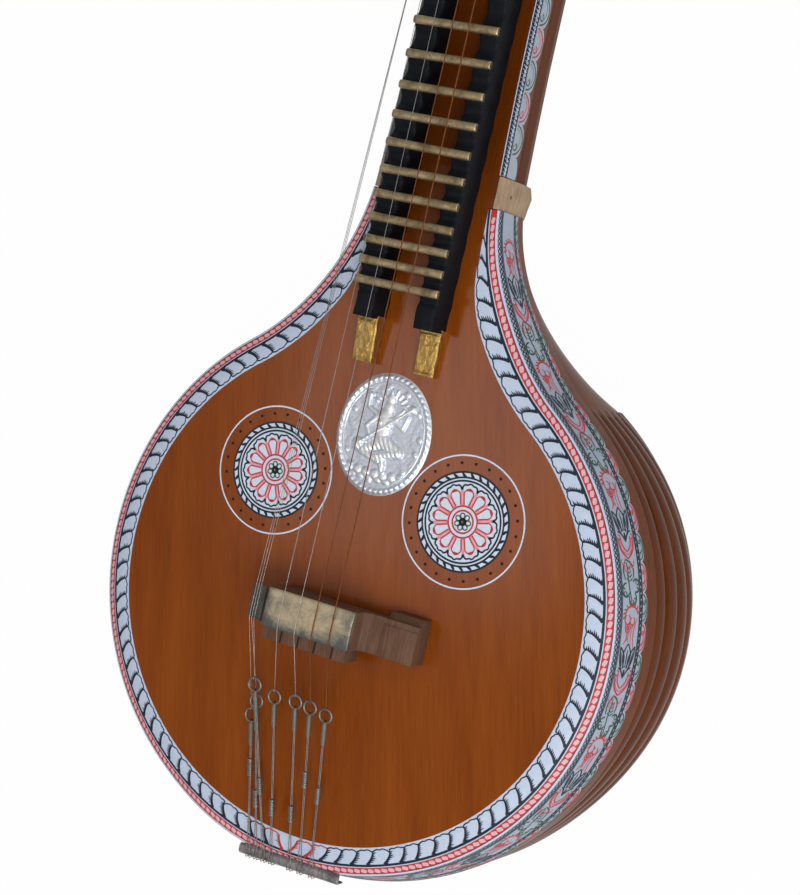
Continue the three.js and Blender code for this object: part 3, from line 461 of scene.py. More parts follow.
@known
def lacquered_wood(name, depth, gloss, coat=0.45, lean=0.0, collar_shade=0.0):
    """Lacquered wood: streaks along the neck or at a lean, bands, dark pores, and painted shade that darkens
    it towards the collar.
    """
    make = Finish(name)
    x, y, z = make.place()
    place = (x + y * lean, y - x * lean, z)
    mid = scaled(pigment("lacquer"), depth)
    bands = make.noise(place, (0.05, 0.006, 0.05), 4.0, 0.6, 0.4)
    streaks = make.noise(place, (0.9, 0.022, 0.9), 5.0, 0.62)
    fine = make.noise(place, (3.2, 0.09, 3.2))
    pores = make.noise(place, (5.5, 0.3, 5.5), 2.0, 0.7).rises(0.69, 0.06)
    tone = (bands * 0.45 + streaks * 0.4 + fine * 0.15).clip()
    dark = scaled(mid, (0.62, 0.52, 0.4))
    wood = make.ramp(tone, (0.28, dark), (0.5, mid), (0.74, scaled(mid, (1.35, 1.5, 1.9))))
    wood = make.blend(pores * 0.3, wood, scaled(dark, 0.4))
    # Painted shade: the board darkens towards the collar, between the rails, where shade falls.
    if collar_shade:
        wood = make.blend(((y - 190.0) / 90.0).clip() * collar_shade, wood, (0.0, 0.0, 0.0))
    rough = 0.32 + 0.1 * streaks
    normal = make.bump(streaks * 0.5 + fine * 0.5, 0.12, 0.15)
    return make.shade(wood, rough, coat=coat, coat_rough=gloss, normal=normal, specular=0.03)


@known
def bare_wood(name, tint, grain):
    """Bare or oiled wood: streaks along the neck, end pores and soft stains."""
    make = Finish(name)
    place = make.place()
    streaks = make.noise(place, (0.8, 0.05, 0.8), 5.0, 0.65, 0.3)
    stains = make.noise(place, 0.06)
    pores = make.noise(place, (4.0, 0.35, 4.0), 2.0, 0.7).rises(0.64, 0.08)
    tone = (streaks * 0.7 + stains * 0.3).clip()
    wood = make.ramp(tone, (0.3, scaled(tint, 0.5)), (0.52, tint), (0.72, scaled(tint, 1.35)))
    wood = make.blend(pores * 0.45, wood, scaled(tint, 0.3))
    normal = make.bump(streaks + pores * -0.5, 0.25 * grain, 0.3)
    return make.shade(wood, 0.55 + 0.2 * streaks, normal=normal)


@known
def paint(name, colour):
    """Hand-brushed enamel: slight strength changes along a stroke and fine brush marks."""
    make = Finish(name)
    place = make.place()
    patch = make.noise(place, 0.5)
    marks = make.noise(place, 2.4, 2.0)
    pale = tuple(min(1.0, c * 1.35 + 0.02) for c in colour)
    tone = make.blend((patch * 0.9 + marks * 0.5 - 0.45).clip(), colour, pale)
    return make.shade(tone, 0.42 + 0.1 * marks, specular=0.25)


def paints(prefix, **shades):
    """Navy, red and green from the panel, then the given shades, each named with the prefix."""
    shades = {**{name: pigment(name) for name in ("navy", "red", "green")}, **shades}
    return [paint(f"{prefix}_{name}", colour) for name, colour in shades.items()]


@known
def painted_ground(name, pitch, edge_start, edge_tall):
    """White enamel with a bluish grey mottle and painted shade on the side below the edge, edged by scallops
    against bare lacquer past the fringe.
    """
    make = Finish(name)
    along, across = make.surface()
    place = make.place()
    mottle = make.noise(place, 0.22, 4.0, 0.65)
    grime = make.noise(place, 1.6)
    white, base = pigment("enamel"), pigment("lacquer")
    ground = make.blend((mottle * 1.1 - 0.25).clip(), white, scaled(white, (0.72, 0.76, 0.84)))
    ground = make.blend((grime.rises(0.66, 0.1) * 0.3).clip(), ground, scaled(white, 0.5))
    # Painted shade: the enamel on the side below the edge is darkened towards half its white.
    ground = make.blend(across.rises(1.0, 2.0) * 0.66, ground, scaled(white, 0.5))
    petal = (along * (1.0 / pitch) + 0.5).fraction() * 2.0 - 1.0
    edge = edge_start + edge_tall * (1.001 - petal * petal).root()
    wood = make.ramp(make.noise(place, (0.35, 0.02, 0.9), 4.0), (0.3, scaled(base, 0.35)),
                     (0.7, scaled(base, 0.75)))
    tone = make.blend(across.rises(edge, 0.35), ground, wood)
    return make.shade(tone, 0.42 + 0.12 * mottle, coat=0.12, coat_rough=0.14, specular=0.2,
                      normal=make.bump(grime, 0.12, 0.1))


@known
def wax():
    """Black fret wax: a bluish black with smears and dents from fingers and tools."""
    make = Finish("black_wax")
    place = make.place()
    smear = make.noise(place, 0.12, 4.0)
    dents = make.noise(place, (0.55, 0.4, 0.55), 3.0, 0.55)
    tone = make.blend(smear, (0.003, 0.0032, 0.0045), (0.01, 0.0125, 0.018))
    return make.shade(tone, 0.42 + 0.22 * smear, specular=0.12, normal=make.bump(dents, 0.5, 0.8))


@known
def metal(name, colour, tarnish, rough, patches):
    """Worn metal: clean and tarnished patches, fine scratches and small dents."""
    make = Finish(name)
    place = make.place()
    stain = make.noise(place, 0.11, 5.0, 0.65, 0.6)
    spots = make.noise(place, 0.7, 4.0, 0.7)
    lines = make.noise(place, (0.25, 4.0, 4.0), 2.0)
    share = ((stain * 0.7 + spots * 0.3).rises(0.5, 0.28) * patches).clip()
    normal = make.bump(spots * 0.6 + lines * 0.4, 0.16, 0.25)
    return make.shade(make.blend(share, colour, tarnish), rough + 0.18 * stain + 0.12 * share, metal=1.0,
                      normal=normal)


@known
def foil():
    """Gold foil wrapped over the rails' ends: sharp crinkles and pressed lines."""
    make = Finish("gold_foil")
    x, y, z = make.place()
    crinkle = make.cells((x + 0.4545, y, z), (0.22, 0.16, 0.22))
    folds = make.noise((x, y, z), (0.3, 0.12, 0.3), 4.0, 0.7, 0.8)
    fine = make.noise((x, y, z), 1.4)
    tone = make.blend(folds, (0.44, 0.25, 0.055), (0.76, 0.52, 0.18))
    normal = make.bump(crinkle * 0.7 + folds * 0.8 + fine * 0.15, 0.8, 1.4)
    return make.shade(tone, 0.36 + 0.14 * folds, metal=1.0, normal=normal)


@known
def wire(name, colour, winding, rough):
    """Drawn wire, and a wound wire where a winding pitch is given: ridges round it along its own length, with
    painted shade darkening the grooves between them.
    """
    make = Finish(name)
    along, around = make.surface()
    dull = make.noise(make.place(), 0.3)
    tone = make.blend(dull, colour, scaled(colour, 0.55))
    normal = None
    if winding:
        ridge = ((along * (TURN / winding) + around * TURN).sine() * 0.5 + 0.5)
        # Painted shade: the grooves between the turns are darkened to less than half the wire's colour.
        tone = make.blend(ridge, scaled(colour, 0.45), tone)
        normal = make.bump(ridge, 0.8, 0.25)
    return make.shade(tone, rough + 0.15 * dull, metal=1.0, normal=normal)


# The bowl's surfaces


def bulge_at(angle):
    """Past the rim: 10 at the tail, plus 9.3 times the squared cosine of 1.45 turns from 105 degrees."""
    turn = 1.45 * (np.abs(angle) - math.radians(105))
    return 10.0 + np.where(np.abs(turn) < QUARTER, 9.3 * np.cos(turn) ** 2, 0.0)


def wall_radius(depth, angle):
    """Radius below the rim: a straight flare, a parabola to the widest depth, then a quarter ellipse."""
    bulge = bulge_at(angle)
    widest = RIM_RADIUS + bulge
    share = clamp01((depth - BAND_DEPTH) / (WIDEST_DEPTH - BAND_DEPTH))
    swell = lerp(BAND_FLARE * BAND_DEPTH, bulge, 1 - (1 - share) ** 2)
    upper = RIM_RADIUS + np.where(depth < BAND_DEPTH, BAND_FLARE * depth, swell)
    keel = np.sqrt(1 - (FOOT_RADIUS / widest) ** 2)
    sink = clamp01((depth - WIDEST_DEPTH) / (BOARD_TOP - WIDEST_DEPTH)) * keel
    return np.where(depth < WIDEST_DEPTH, upper, widest * np.sqrt(1 - sink ** 2))


def fillet_half(y):
    return FILLET_X - np.sqrt(FILLET ** 2 - np.minimum(FILLET_Y - y, FILLET) ** 2)


def cape_measures(y):
    """The cape's top half width, widest half width and its depth, whole depth and roundness, all by y."""
    top = fillet_half(np.asarray(y, dtype=float))
    share = clamp01((top - NECK_ROOT) / (fillet_half(RIDGE_Y) - NECK_ROOT))
    radius = RIM_RADIUS + float(bulge_at(math.pi - math.acos(RIDGE_Y / RIM_RADIUS)))
    half = math.sqrt(radius ** 2 - RIDGE_Y ** 2)
    depth = WIDEST_DEPTH + (BOARD_TOP - WIDEST_DEPTH) * half / math.sqrt(radius ** 2 - FOOT_RADIUS ** 2)
    return (top, lerp(45.2, half, share ** 0.88), lerp(22.0, WIDEST_DEPTH, share ** 1.45),
            lerp(66.0, depth, share), lerp(2.2, 2.0, share))


def cape_swell(y, depth):
    """How far the cape stands out past its top edge: one less a power of what is left to the widest depth."""
    top, widest, drop, _, _ = cape_measures(y)
    return (widest - top) * (1 - (1 - clamp01(depth / drop)) ** 2.1)


def in_bowl(x, y, depth):
    """Whether a point lies within the bowl's round wall at a depth below the board."""
    level = y / np.where(y < 0, TAIL_SHARE, 1.0)
    return np.hypot(x, level) < wall_radius(depth, np.arctan2(np.abs(x), -level))


def in_wall(x, y, depth):
    """Whether a point lies within the round wall or within the cape."""
    ahead = np.clip(y, RIDGE_Y, JOINT_Y)
    in_cape = (y > RIDGE_Y) & (np.abs(x) < fillet_half(ahead) + cape_swell(ahead, depth))
    return in_bowl(x, y, depth) | in_cape


def halved(inside, shape, most, steps):
    """The largest reach that a test takes as inside, found by halving, and the last reach tried."""
    low, high = np.zeros(shape), np.full(shape, most)
    for _ in range(steps):
        reach = (low + high) / 2
        hit = inside(reach)
        low, high = np.where(hit, reach, low), np.where(hit, high, reach)
    return low, reach


def neck_half_width(y):
    """Half the neck's width: a sine from the joint to the waist, then a straight taper to the nut."""
    near = lerp(NECK_ROOT, NECK_WAIST, np.sin(QUARTER * clamp01((y - JOINT_Y) / (WAIST_Y - JOINT_Y))))
    return np.where(y < WAIST_Y, near, lerp(NECK_WAIST, NECK_END, clamp01((y - WAIST_Y) / (NUT_Y - WAIST_Y))))


class Rim:
    """The board's edge by its length from the tail: half an ellipse, a circle, then the fillet's arc."""

    ROWS, COLUMNS = 900, 61

    def __init__(self):
        angle = np.linspace(0, math.pi - math.atan2(FILLET_X, FILLET_Y), 2000)
        x, y = RIM_RADIUS * np.sin(angle), -RIM_RADIUS * np.cos(angle)
        y = np.where(y < 0, TAIL_SHARE * y, y)
        start = math.atan2(y[-1] - FILLET_Y, x[-1] - FILLET_X)
        arc = np.linspace(start, -math.pi + math.asin((FILLET_Y - JOINT_Y) / FILLET), 900)[1:]
        self.x = x = np.concatenate([x, FILLET_X + FILLET * np.cos(arc)])
        self.y = y = np.concatenate([y, FILLET_Y + FILLET * np.sin(arc)])
        self.u = np.concatenate([[0.0], np.cumsum(np.hypot(np.diff(x), np.diff(y)))])
        self.length = self.u[-1]
        dx, dy = np.gradient(x, self.u), np.gradient(y, self.u)
        size = np.hypot(dx, dy)
        self.nx, self.ny = dy / size, -dx / size
        self.wall = self.find_wall()

    def find_wall(self):
        """A smoothed table of the wall's distance out along the edge's normal, by length and depth."""
        x, y, nx, ny = self.at(np.linspace(0.0, self.length, self.ROWS)[:, None])
        depth = np.arange(0.0, self.COLUMNS)[None, :]

        def inside(out):
            return in_wall(x + nx * out, y + ny * out, depth)

        low, _ = halved(inside, (self.ROWS, self.COLUMNS), 45.0, 22)
        even = low.copy()
        for _ in range(400):
            even[1:-1] = np.maximum(low[1:-1], (even[:-2] + even[1:-1] + even[2:]) / 3)
        return even

    def at(self, u):
        """Edge point and outward normal: x, y, nx, ny."""
        side = np.where(u < 0, -1.0, 1.0)
        x, y, nx, ny = (np.interp(np.abs(u), self.u, table) for table in (self.x, self.y, self.nx, self.ny))
        return side * x, y, side * nx, ny

    def swell(self, u, depth):
        """How far the side stands out along the normal at a depth, read between the table's cells."""
        last = self.ROWS - 1
        row = np.clip(np.abs(u) / self.length * last, 0, last - 0.001)
        row, column = np.broadcast_arrays(row, np.clip(depth, 0, self.COLUMNS - 1.001))
        i, j = row.astype(int), column.astype(int)
        near = lerp(self.wall[i, j], self.wall[i + 1, j], row - i)
        return lerp(near, lerp(self.wall[i, j + 1], self.wall[i + 1, j + 1], row - i), column - j)

    def eased(self, u, full, least, start, run):
        """A value that eases from full to least over a run of y from a start."""
        return lerp(full, least, smooth01((self.at(u)[1] - start) / run))

    def narrow(self, u):
        """How wide the row of leaves is as a share of its full width: almost nothing at the collar."""
        return self.eased(u, 1.0, 0.08, 196.0, 66.0)

    def fall(self, u):
        """How far the top strip sinks at the edge: nothing behind the tail bar, full on the sides."""
        return 4.4 * smooth01((np.abs(u) - 45.0) / 65.0) * self.eased(u, 1.0, 0.2, 180.0, 70.0)

    def inner_edge(self, u):
        """Half width and y of the line where the strip meets the bare board."""
        x, y, nx, ny = self.at(u)
        reach = LEAF_LINE + (STRIP - LEAF_LINE) * self.narrow(u)
        return x - nx * reach, y - ny * reach


RIM = Rim()


def place_on_border(u, across, lift=0.0):
    """A point of the painted shell. Across is below 0 on the top, 0 at the edge and above 0 on the side."""
    x, y, nx, ny = RIM.at(u)
    edge = 0.9
    top = np.minimum(across, -edge)
    top = np.where(top < -LEAF_LINE, -LEAF_LINE + (top + LEAF_LINE) * RIM.narrow(u), top)
    fall = RIM.fall(u) * clamp01((top + STRIP) / (STRIP - edge)) ** 1.8
    turn = clamp01((across + edge) / edge) * QUARTER
    band = np.maximum(across, 0.0) * RIM.eased(u, 1.0, 0.85, 70.0, 175.0)
    down = fall + edge * (1 - np.cos(turn)) + band
    out = np.where(across < -edge, top, -edge + edge * np.sin(turn)) + RIM.swell(u, down)
    out = out + (LIFT + lift) * np.sin(turn)
    return joined(x + nx * out, y + ny * out, BOARD_TOP + 0.18 - down + lift * np.cos(turn))


# Brush strokes: a path, half its width and its ink


NAVY, RED, GREEN, PINK, PALE_GREEN, PALE_DASH = range(6)


def spread(shape, offsets):
    """Copies of a (k, 2) shape moved along u by each offset: (n, k, 2)."""
    moved = np.repeat(np.asarray(shape, dtype=float)[None], len(offsets), axis=0)
    moved[..., 0] += np.asarray(offsets)[:, None]
    return moved


def along_rim(across, step=1.6):
    u = np.linspace(-RIM.length, RIM.length, int(2 * RIM.length / step))
    return np.stack([u, np.full(u.shape, across)], axis=-1)


def wavy(centre, height, pitch, phase, step):
    """A sine along the rim."""
    path = along_rim(centre, step)
    path[:, 1] += height * np.sin(TURN * (path[:, 0] / pitch + phase))
    return path


def turned(points, turn):
    x, y = points[..., 0], points[..., 1]
    return np.stack([x * np.cos(turn) - y * np.sin(turn), x * np.sin(turn) + y * np.cos(turn)], -1)


def oval(cx, cy, rx, ry, turn=0.0, start=0.0, end=TURN, steps=14):
    angle = np.linspace(start, end, steps)
    return turned(np.stack([rx * np.cos(angle), ry * np.sin(angle)], -1), turn) + (cx, cy)


def bow(x0, y0, x1, y1, belly, steps=9):
    """A line between two points that bows sideways by a sine of its share."""
    t = np.linspace(0, 1, steps)
    length = math.hypot(x1 - x0, y1 - y0)
    side = belly * np.sin(math.pi * t) / length
    return np.stack([x0 + (x1 - x0) * t - (y1 - y0) * side, y0 + (y1 - y0) * t + (x1 - x0) * side], -1)


def taper(k, full, ends):
    """A brush stroke's half width: full in the middle, less at its ends."""
    t = np.linspace(0, 1, k)
    return full * (ends + (1 - ends) * np.sin(math.pi * np.clip(t, 0.02, 0.98)) ** 0.6)


def border_strokes(skin):
    """Top border: a red band of pale dashes, a dark line, then cells parted by hooks with combed hairs."""
    def draw(path, half, colour, lift):
        skin.ribbons(path, half, place_on_border, colour, lift)

    draw(along_rim(-2.9), 2.0, RED, 0.06)
    dash = np.stack([np.linspace(0, 3.9, 4), np.linspace(-3.35, -2.4, 4)], axis=-1)
    draw(spread(dash, np.arange(-RIM.length + 4, RIM.length - 4, 4.8)), np.array([0.85, 1.1, 1.1, 0.85]),
         PALE_DASH, 0.1)
    draw(along_rim(-6.2), 0.72, NAVY, 0.1)
    pitch = measure("leaf_pitch")
    t, w = np.linspace(0, 1, 9), np.linspace(0, 1, 17)
    for side in (-1, 1):
        for number in range(int((RIM.length - 4) / pitch)):
            wobble = float(hash_noise(number, 3 + side))
            reach = pitch * (number + 0.5) + 0.5 * wobble
            colour = RED if number < 1 or (number == 1 and side > 0) else NAVY
            u = reach - 3.4 + (5.4 + 0.5 * wobble) * np.sin(t * QUARTER) ** 0.9
            v = -6.6 - 8.6 * t
            draw(np.stack([side * u, v], axis=-1), np.interp(t, [0, 0.25, 0.7, 1], [1.15, 0.85, 0.62, 0.42]),
                 colour, 0.12)
            humps = 0.8 * np.abs(np.sin(math.pi * (2.5 * w + 0.15 * wobble))) + 1.0 * np.sin(math.pi * w)
            edge_u = reach + 1.9 + (pitch + 0.6) * w
            edge_v = -15.0 - humps * 0.74 + 1.8 * clamp01((w - 0.82) / 0.18) ** 1.5
            draw(np.stack([side * edge_u, edge_v], axis=-1),
                 np.interp(w, [0, 0.3, 0.7, 1], [0.52, 0.42, 0.38, 0.48]), colour, 0.1)
            for k in range(7):
                hair_u, hair_v = (float(np.interp(0.08 + 0.125 * k, t, line)) for line in (u, v))
                length = 3.2 + 0.9 * float(hash_noise(number * 7 + k, 5)) - 0.22 * abs(k - 3)
                hair = np.array([(hair_u - 0.3, hair_v), (hair_u + 0.5 * length, hair_v - 0.05 * k),
                                 (hair_u + length, hair_v - 0.12 * k + 0.1)])
                draw(hair * (side, 1), np.array([0.55, 0.38, 0.08]), colour, 0.13)


def flower():
    """Full bloom from the side: a fringed crest, round lobes on one side and long lines on the other."""
    strokes = [(oval(3.0, 0.4, 4.4, 5.0, 0, -1.9, 1.5, 15), 0.42, RED),
               (oval(-2.6, -2.3, 1.0, 0.8, steps=7), 0.6, RED)]
    for turn in -1.7 + 0.37 * np.arange(9):
        x, y = 3.0 + 4.4 * math.cos(turn), 0.4 + 5.0 * math.sin(turn)
        tip = (x + 2.0 * math.cos(turn - 0.4), y + 2.0 * math.sin(turn - 0.4))
        strokes.append((bow(x, y, *tip, 0.3, 4), 0.42, RED))
    for cx, cy, r in ((1.2, -2.6, 2.3), (-2.6, -2.3, 2.2), (0.4, 1.3, 1.9)):
        strokes.append((oval(cx, cy, r, r * 0.95, 0, 0.4, 5.9, 11), 0.38, RED))
    for k, colour in enumerate((RED, PINK, RED)):
        line = bow(2.0 - 1.6 * k, 5.0 - 1.5 * k, -12.5 + 1.4 * k, 3.6 - 2.4 * k, 1.7, 10)
        strokes.append((line, 0.3, colour))
    return strokes + [(bow(-4.4, -3.4, -10.5, -4.6, -1.3, 7), 0.32, RED),
                      (bow(-4.8, -2.2, -9.0, -2.6, -0.9, 6), 0.28, PINK)]


def leaf():
    """Ivy leaf: a long pointed lobe with its midrib and veins, two round side lobes and one at the stalk."""
    strokes = [(bow(12.5, -2.6, 2.6, -4.2, 1.9, 10), 0.5, GREEN),
               (bow(12.5, -2.6, 3.4, 2.6, -2.6, 11), 0.5, GREEN),
               (bow(11.0, -2.2, -7.5, 0.4, 0.8, 12), 0.42, GREEN)]
    for k, colour in enumerate((GREEN, NAVY, GREEN, GREEN)):
        x = 1.8 + 1.9 * k
        strokes += [(bow(x, -0.9, x + 1.4, -3.2 + 0.35 * k, 0.2, 4), 0.34, GREEN),
                    (bow(x, -0.6, x + 1.6, 1.7 - 0.5 * k, 0.2, 4), 0.34, colour)]
    for cx, cy, r, start in ((-0.6, 4.2, 3.2, -0.9), (-6.6, 1.4, 3.2, 0.7), (-2.4, -4.0, 3.3, 2.0)):
        strokes.append((oval(cx, cy, r, r * 0.92, 0, start, start + 4.4, 14), 0.55, GREEN))
        for turn in (0.9, 2.0, 3.1):
            dx, dy = r * math.cos(start + turn), r * math.sin(start + turn)
            vein = bow(cx + dx * 0.25, cy + dy * 0.25, cx + dx * 0.8, cy + dy * 0.8, 0.2, 4)
            strokes.append((vein, 0.36, GREEN))
    return strokes


def bud():
    """Lotus bud: three long petals that open from one stem, each with an inner line."""
    petals = ((-7.0, 0.6, 7.5, 6.0, 1.6, 11, 0.55), (7.5, 6.0, -3.5, 1.9, 1.9, 10, 0.5),
              (-3.0, 0.9, 9.0, 0.0, 2.7, 11, 0.5), (-2.0, 3.0, 4.6, 4.8, 0.4, 6, 0.34),
              (-7.5, 0.8, -3.0, 5.4, -0.9, 7, 0.4))
    strokes = [(bow(x0, side * y0, x1, side * y1, side * belly, steps), half, NAVY)
               for side in (-1, 1) for x0, y0, x1, y1, belly, steps, half in petals]
    return strokes + [(bow(-3.0, 0, 6.0, 0, 0.15, 6), 0.42, NAVY), (bow(-8.5, 0, -4.0, 0, 0.1, 4), 0.8, NAVY)]


def chevron():
    """Sepals: two nested strokes that meet in a point and curl outward at their tips."""
    strokes = []
    for side in (-1, 1):
        strokes += [(bow(-6.5, 0, 4.5, side * 6.4, side * 2.0, 11), 0.5, RED),
                    (bow(-3.0, 0, 5.0, side * 4.0, side * 1.5, 9), 0.44, RED),
                    (oval(4.6, side * 5.2, 1.25, 1.2, 0, -0.4, 4.4, 9), 0.38, RED),
                    (bow(-4.6, 0, 3.0, side * 5.2, side * 1.8, 9), 0.3, PINK)]
    return strokes + [(oval(cx, cy, 2.0, 1.5, 0.6, 0.2, 5.0, 10), 0.34, PINK)
                      for cx, cy in ((-9.0, 2.6), (-11.0, -2.4), (-7.6, -4.6))]


def side_strokes(skin):
    """Side band: a chain, a row of leaves, sepals, buds and flowers, a chain, and a petal fringe."""
    def draw(path, half, colour, lift):
        skin.ribbons(path, half, place_on_border, colour, lift)

    for across, half in ((-0.6, 0.55), (4.0, 0.55), (5.2, 0.4), (23.5, 0.45), (26.5, 0.45)):
        draw(along_rim(across), half, NAVY, 0.1)
    for phase in (0.0, 0.5):
        draw(wavy(1.7, 1.3, 6.5, phase, 0.45), 0.45, NAVY, 0.12)
        draw(wavy(25.0, 1.1, 7.6, phase, 0.5), 0.6, NAVY, 0.12)
    pitch = measure("motif_pitch")
    motifs = ((leaf, 0.0), (chevron, 0.285), (bud, 0.44), (flower, 0.73))
    for side in (-1, 1):
        for number in range(int((RIM.length - 12) / pitch) + 1):
            for index, (motif, step) in enumerate(motifs):
                reach = pitch * (number + step + 0.12)
                if reach > RIM.length - 14:
                    continue
                seed = float(hash_noise(number * 4 + index, 11 + side))
                for path, half, colour in motif():
                    u, v = (path * (1.0 + 0.05 * seed)).T
                    stroke = np.stack([side * (reach + u * 1.25), 14.6 + 0.4 * seed + v * 1.3], -1)
                    draw(stroke, taper(len(stroke), half * 1.35, 0.6), colour, 0.14)
    scallop = measure("scallop_pitch")
    span = int(RIM.length / scallop)
    centres = scallop * np.arange(-span, span + 1)
    wide = scallop / 2 - 1.2
    arch = oval(0, 26.6, wide, 4.9, 0, 0.06, math.pi - 0.06, 15)
    inner = oval(-0.6, 26.7, wide * 0.62, 3.1, 0, 0.1, math.pi - 0.1, 11)
    curl = oval(wide * 0.42, 28.4, 1.4, 1.2, 0, 0.5, 5.0, 9)
    tip = bow(-wide * 0.5, 27.0, -wide * 0.2, 30.0, 0.5, 5)
    for parity, colour, pale in ((0, GREEN, PALE_GREEN), (1, RED, PINK)):
        for shape, half, tone, lift in ((arch, taper(15, 0.55, 0.6), colour, 0.12),
                                        (inner, taper(11, 0.42, 0.5), pale, 0.11),
                                        (curl, 0.46, colour, 0.13), (tip, 0.46, colour, 0.13)):
            draw(spread(shape, centres[parity::2]), half, tone, lift)


class VeenaOperator(bpy.types.Operator):
    """Shared base of the veena's operators"""

    bl_options = {"REGISTER", "UNDO"}

    @classmethod
    def poll(cls, context):
        return context.scene is not None


def posed(place, right, up, back):
    """A matrix from a place and three axes."""
    return Matrix.Translation(place) @ Matrix([[right[i], up[i], back[i]] for i in range(3)]).to_4x4()


class VEENA_OT_stage(VeenaOperator):
    """Make the floor, the lamps, the sky and the camera"""

    bl_idname = "veena.stage"
    bl_label = "Stage"

    def execute(self, context):
        scene = context.scene
        scene.view_settings.view_transform = "Standard"
        self.make_floor()
        self.make_world(scene)
        self.make_lamps(scene)
        self.make_camera(scene)
        return {"FINISHED"}

    def make_floor(self):
        mesh = bpy.data.meshes.new("floor")
        reach = 9.0
        mesh.from_pydata([(-reach, -reach, 0), (reach, -reach, 0), (reach, reach, 0), (-reach, reach, 0)], [],
                         [(0, 1, 2, 3)])
        floor = bpy.data.objects.new("floor", mesh)
        floor.location.z = -0.0004
        bpy.context.scene.collection.objects.link(floor)
        make = Finish("pale_floor")
        camera = make.node("ShaderNodeLightPath", output="Is Camera Ray")
        glossy = make.node("ShaderNodeLightPath", output="Is Glossy Ray")
        plain = make.node("ShaderNodeBsdfDiffuse", inputs={"Color": (0.82, 0.82, 0.82), "Roughness": 0.3})
        glow = make.node("ShaderNodeEmission", inputs={"Color": (1.0, 1.0, 1.0), "Strength": 1.0})
        seen = (camera + glossy).clip() * 0.98
        mixed = make.node("ShaderNodeMixShader", inputs={0: seen, 1: plain, 2: glow})
        mesh.materials.append(make.close(mixed))

    def make_world(self, scene):
        """White behind the object, and a dimmer white that lights it."""
        make = Finish("studio", bpy.data.worlds)
        camera = make.node("ShaderNodeLightPath", output="Is Camera Ray")
        through = make.node("ShaderNodeLightPath", output="Is Transmission Ray")
        fill, white = (make.node("ShaderNodeBackground", inputs={"Color": (grey,) * 3, "Strength": strength})
                       for grey, strength in ((1.0, 0.26), (0.98, 1.0)))
        seen = camera.math("MAXIMUM", camera, through)
        mixed = make.node("ShaderNodeMixShader", inputs={0: seen, 1: fill, 2: white})
        scene.world = make.close(mixed, "ShaderNodeOutputWorld")

    def make_lamps(self, scene):
        """Area lamps: name, place, aim, width, height, power and colour."""
        lamps = (
            ("key", (0.95, -0.6, 1.7), (0.05, 0.05, 0.2), 1.0, 1.0, 21.5, (1.0, 0.97, 0.93)),
            ("panel", (-0.66, 0.02, 1.7), (-0.62, 0.02, 0.0), 0.42, 0.46, 1.9, (1.0, 0.88, 0.86)),
            ("side", (2.0, -0.35, 0.95), (0.1, 0.0, 0.12), 0.5, 1.5, 4.5, (1.0, 0.99, 0.98)),
            ("neck", (0.9, 1.6, 1.9), (0.0, 0.6, 0.15), 0.9, 0.9, 8.0, (1.0, 1.0, 1.0)),
        )
        for name, place, target, width, height, power, colour in lamps:
            data = bpy.data.lights.new(name, "AREA")
            data.shape = "RECTANGLE"
            data.size, data.size_y = width, height
            data.energy, data.color = power, colour
            lamp = bpy.data.objects.new(name, data)
            back = unit(np.array(place) - np.array(target))
            right = unit(np.cross((0.0, 0.0, 1.0), back))
            lamp.matrix_world = posed(place, right, np.cross(back, right), back)
            scene.collection.objects.link(lamp)

    def make_camera(self, scene):
        """The photograph's camera, solved from the frets, the bridge and the rim."""
        data = bpy.data.cameras.new("camera")
        data.lens, data.sensor_width, data.sensor_fit = 79.27, 36.0, "AUTO"
        data.clip_start, data.clip_end = 0.05, 50.0
        camera = bpy.data.objects.new("camera", data)
        camera.matrix_world = posed((0.56274, 0.18274, 1.32896), (0.87053, 0.224295, -0.438029),
                                    (-0.229466, 0.972415, 0.041895), (0.435342, 0.064042, 0.897984))
        scene.collection.objects.link(camera)
        scene.camera = camera


def mirrored(x, y, z):
    """Open sections from one top edge round the keel, at x = 0 in the last column, to the other top edge."""
    right = joined(x, y, z)
    return np.concatenate([right[:, :-1], right[:, ::-1] * (-1, 1, 1)], axis=1)


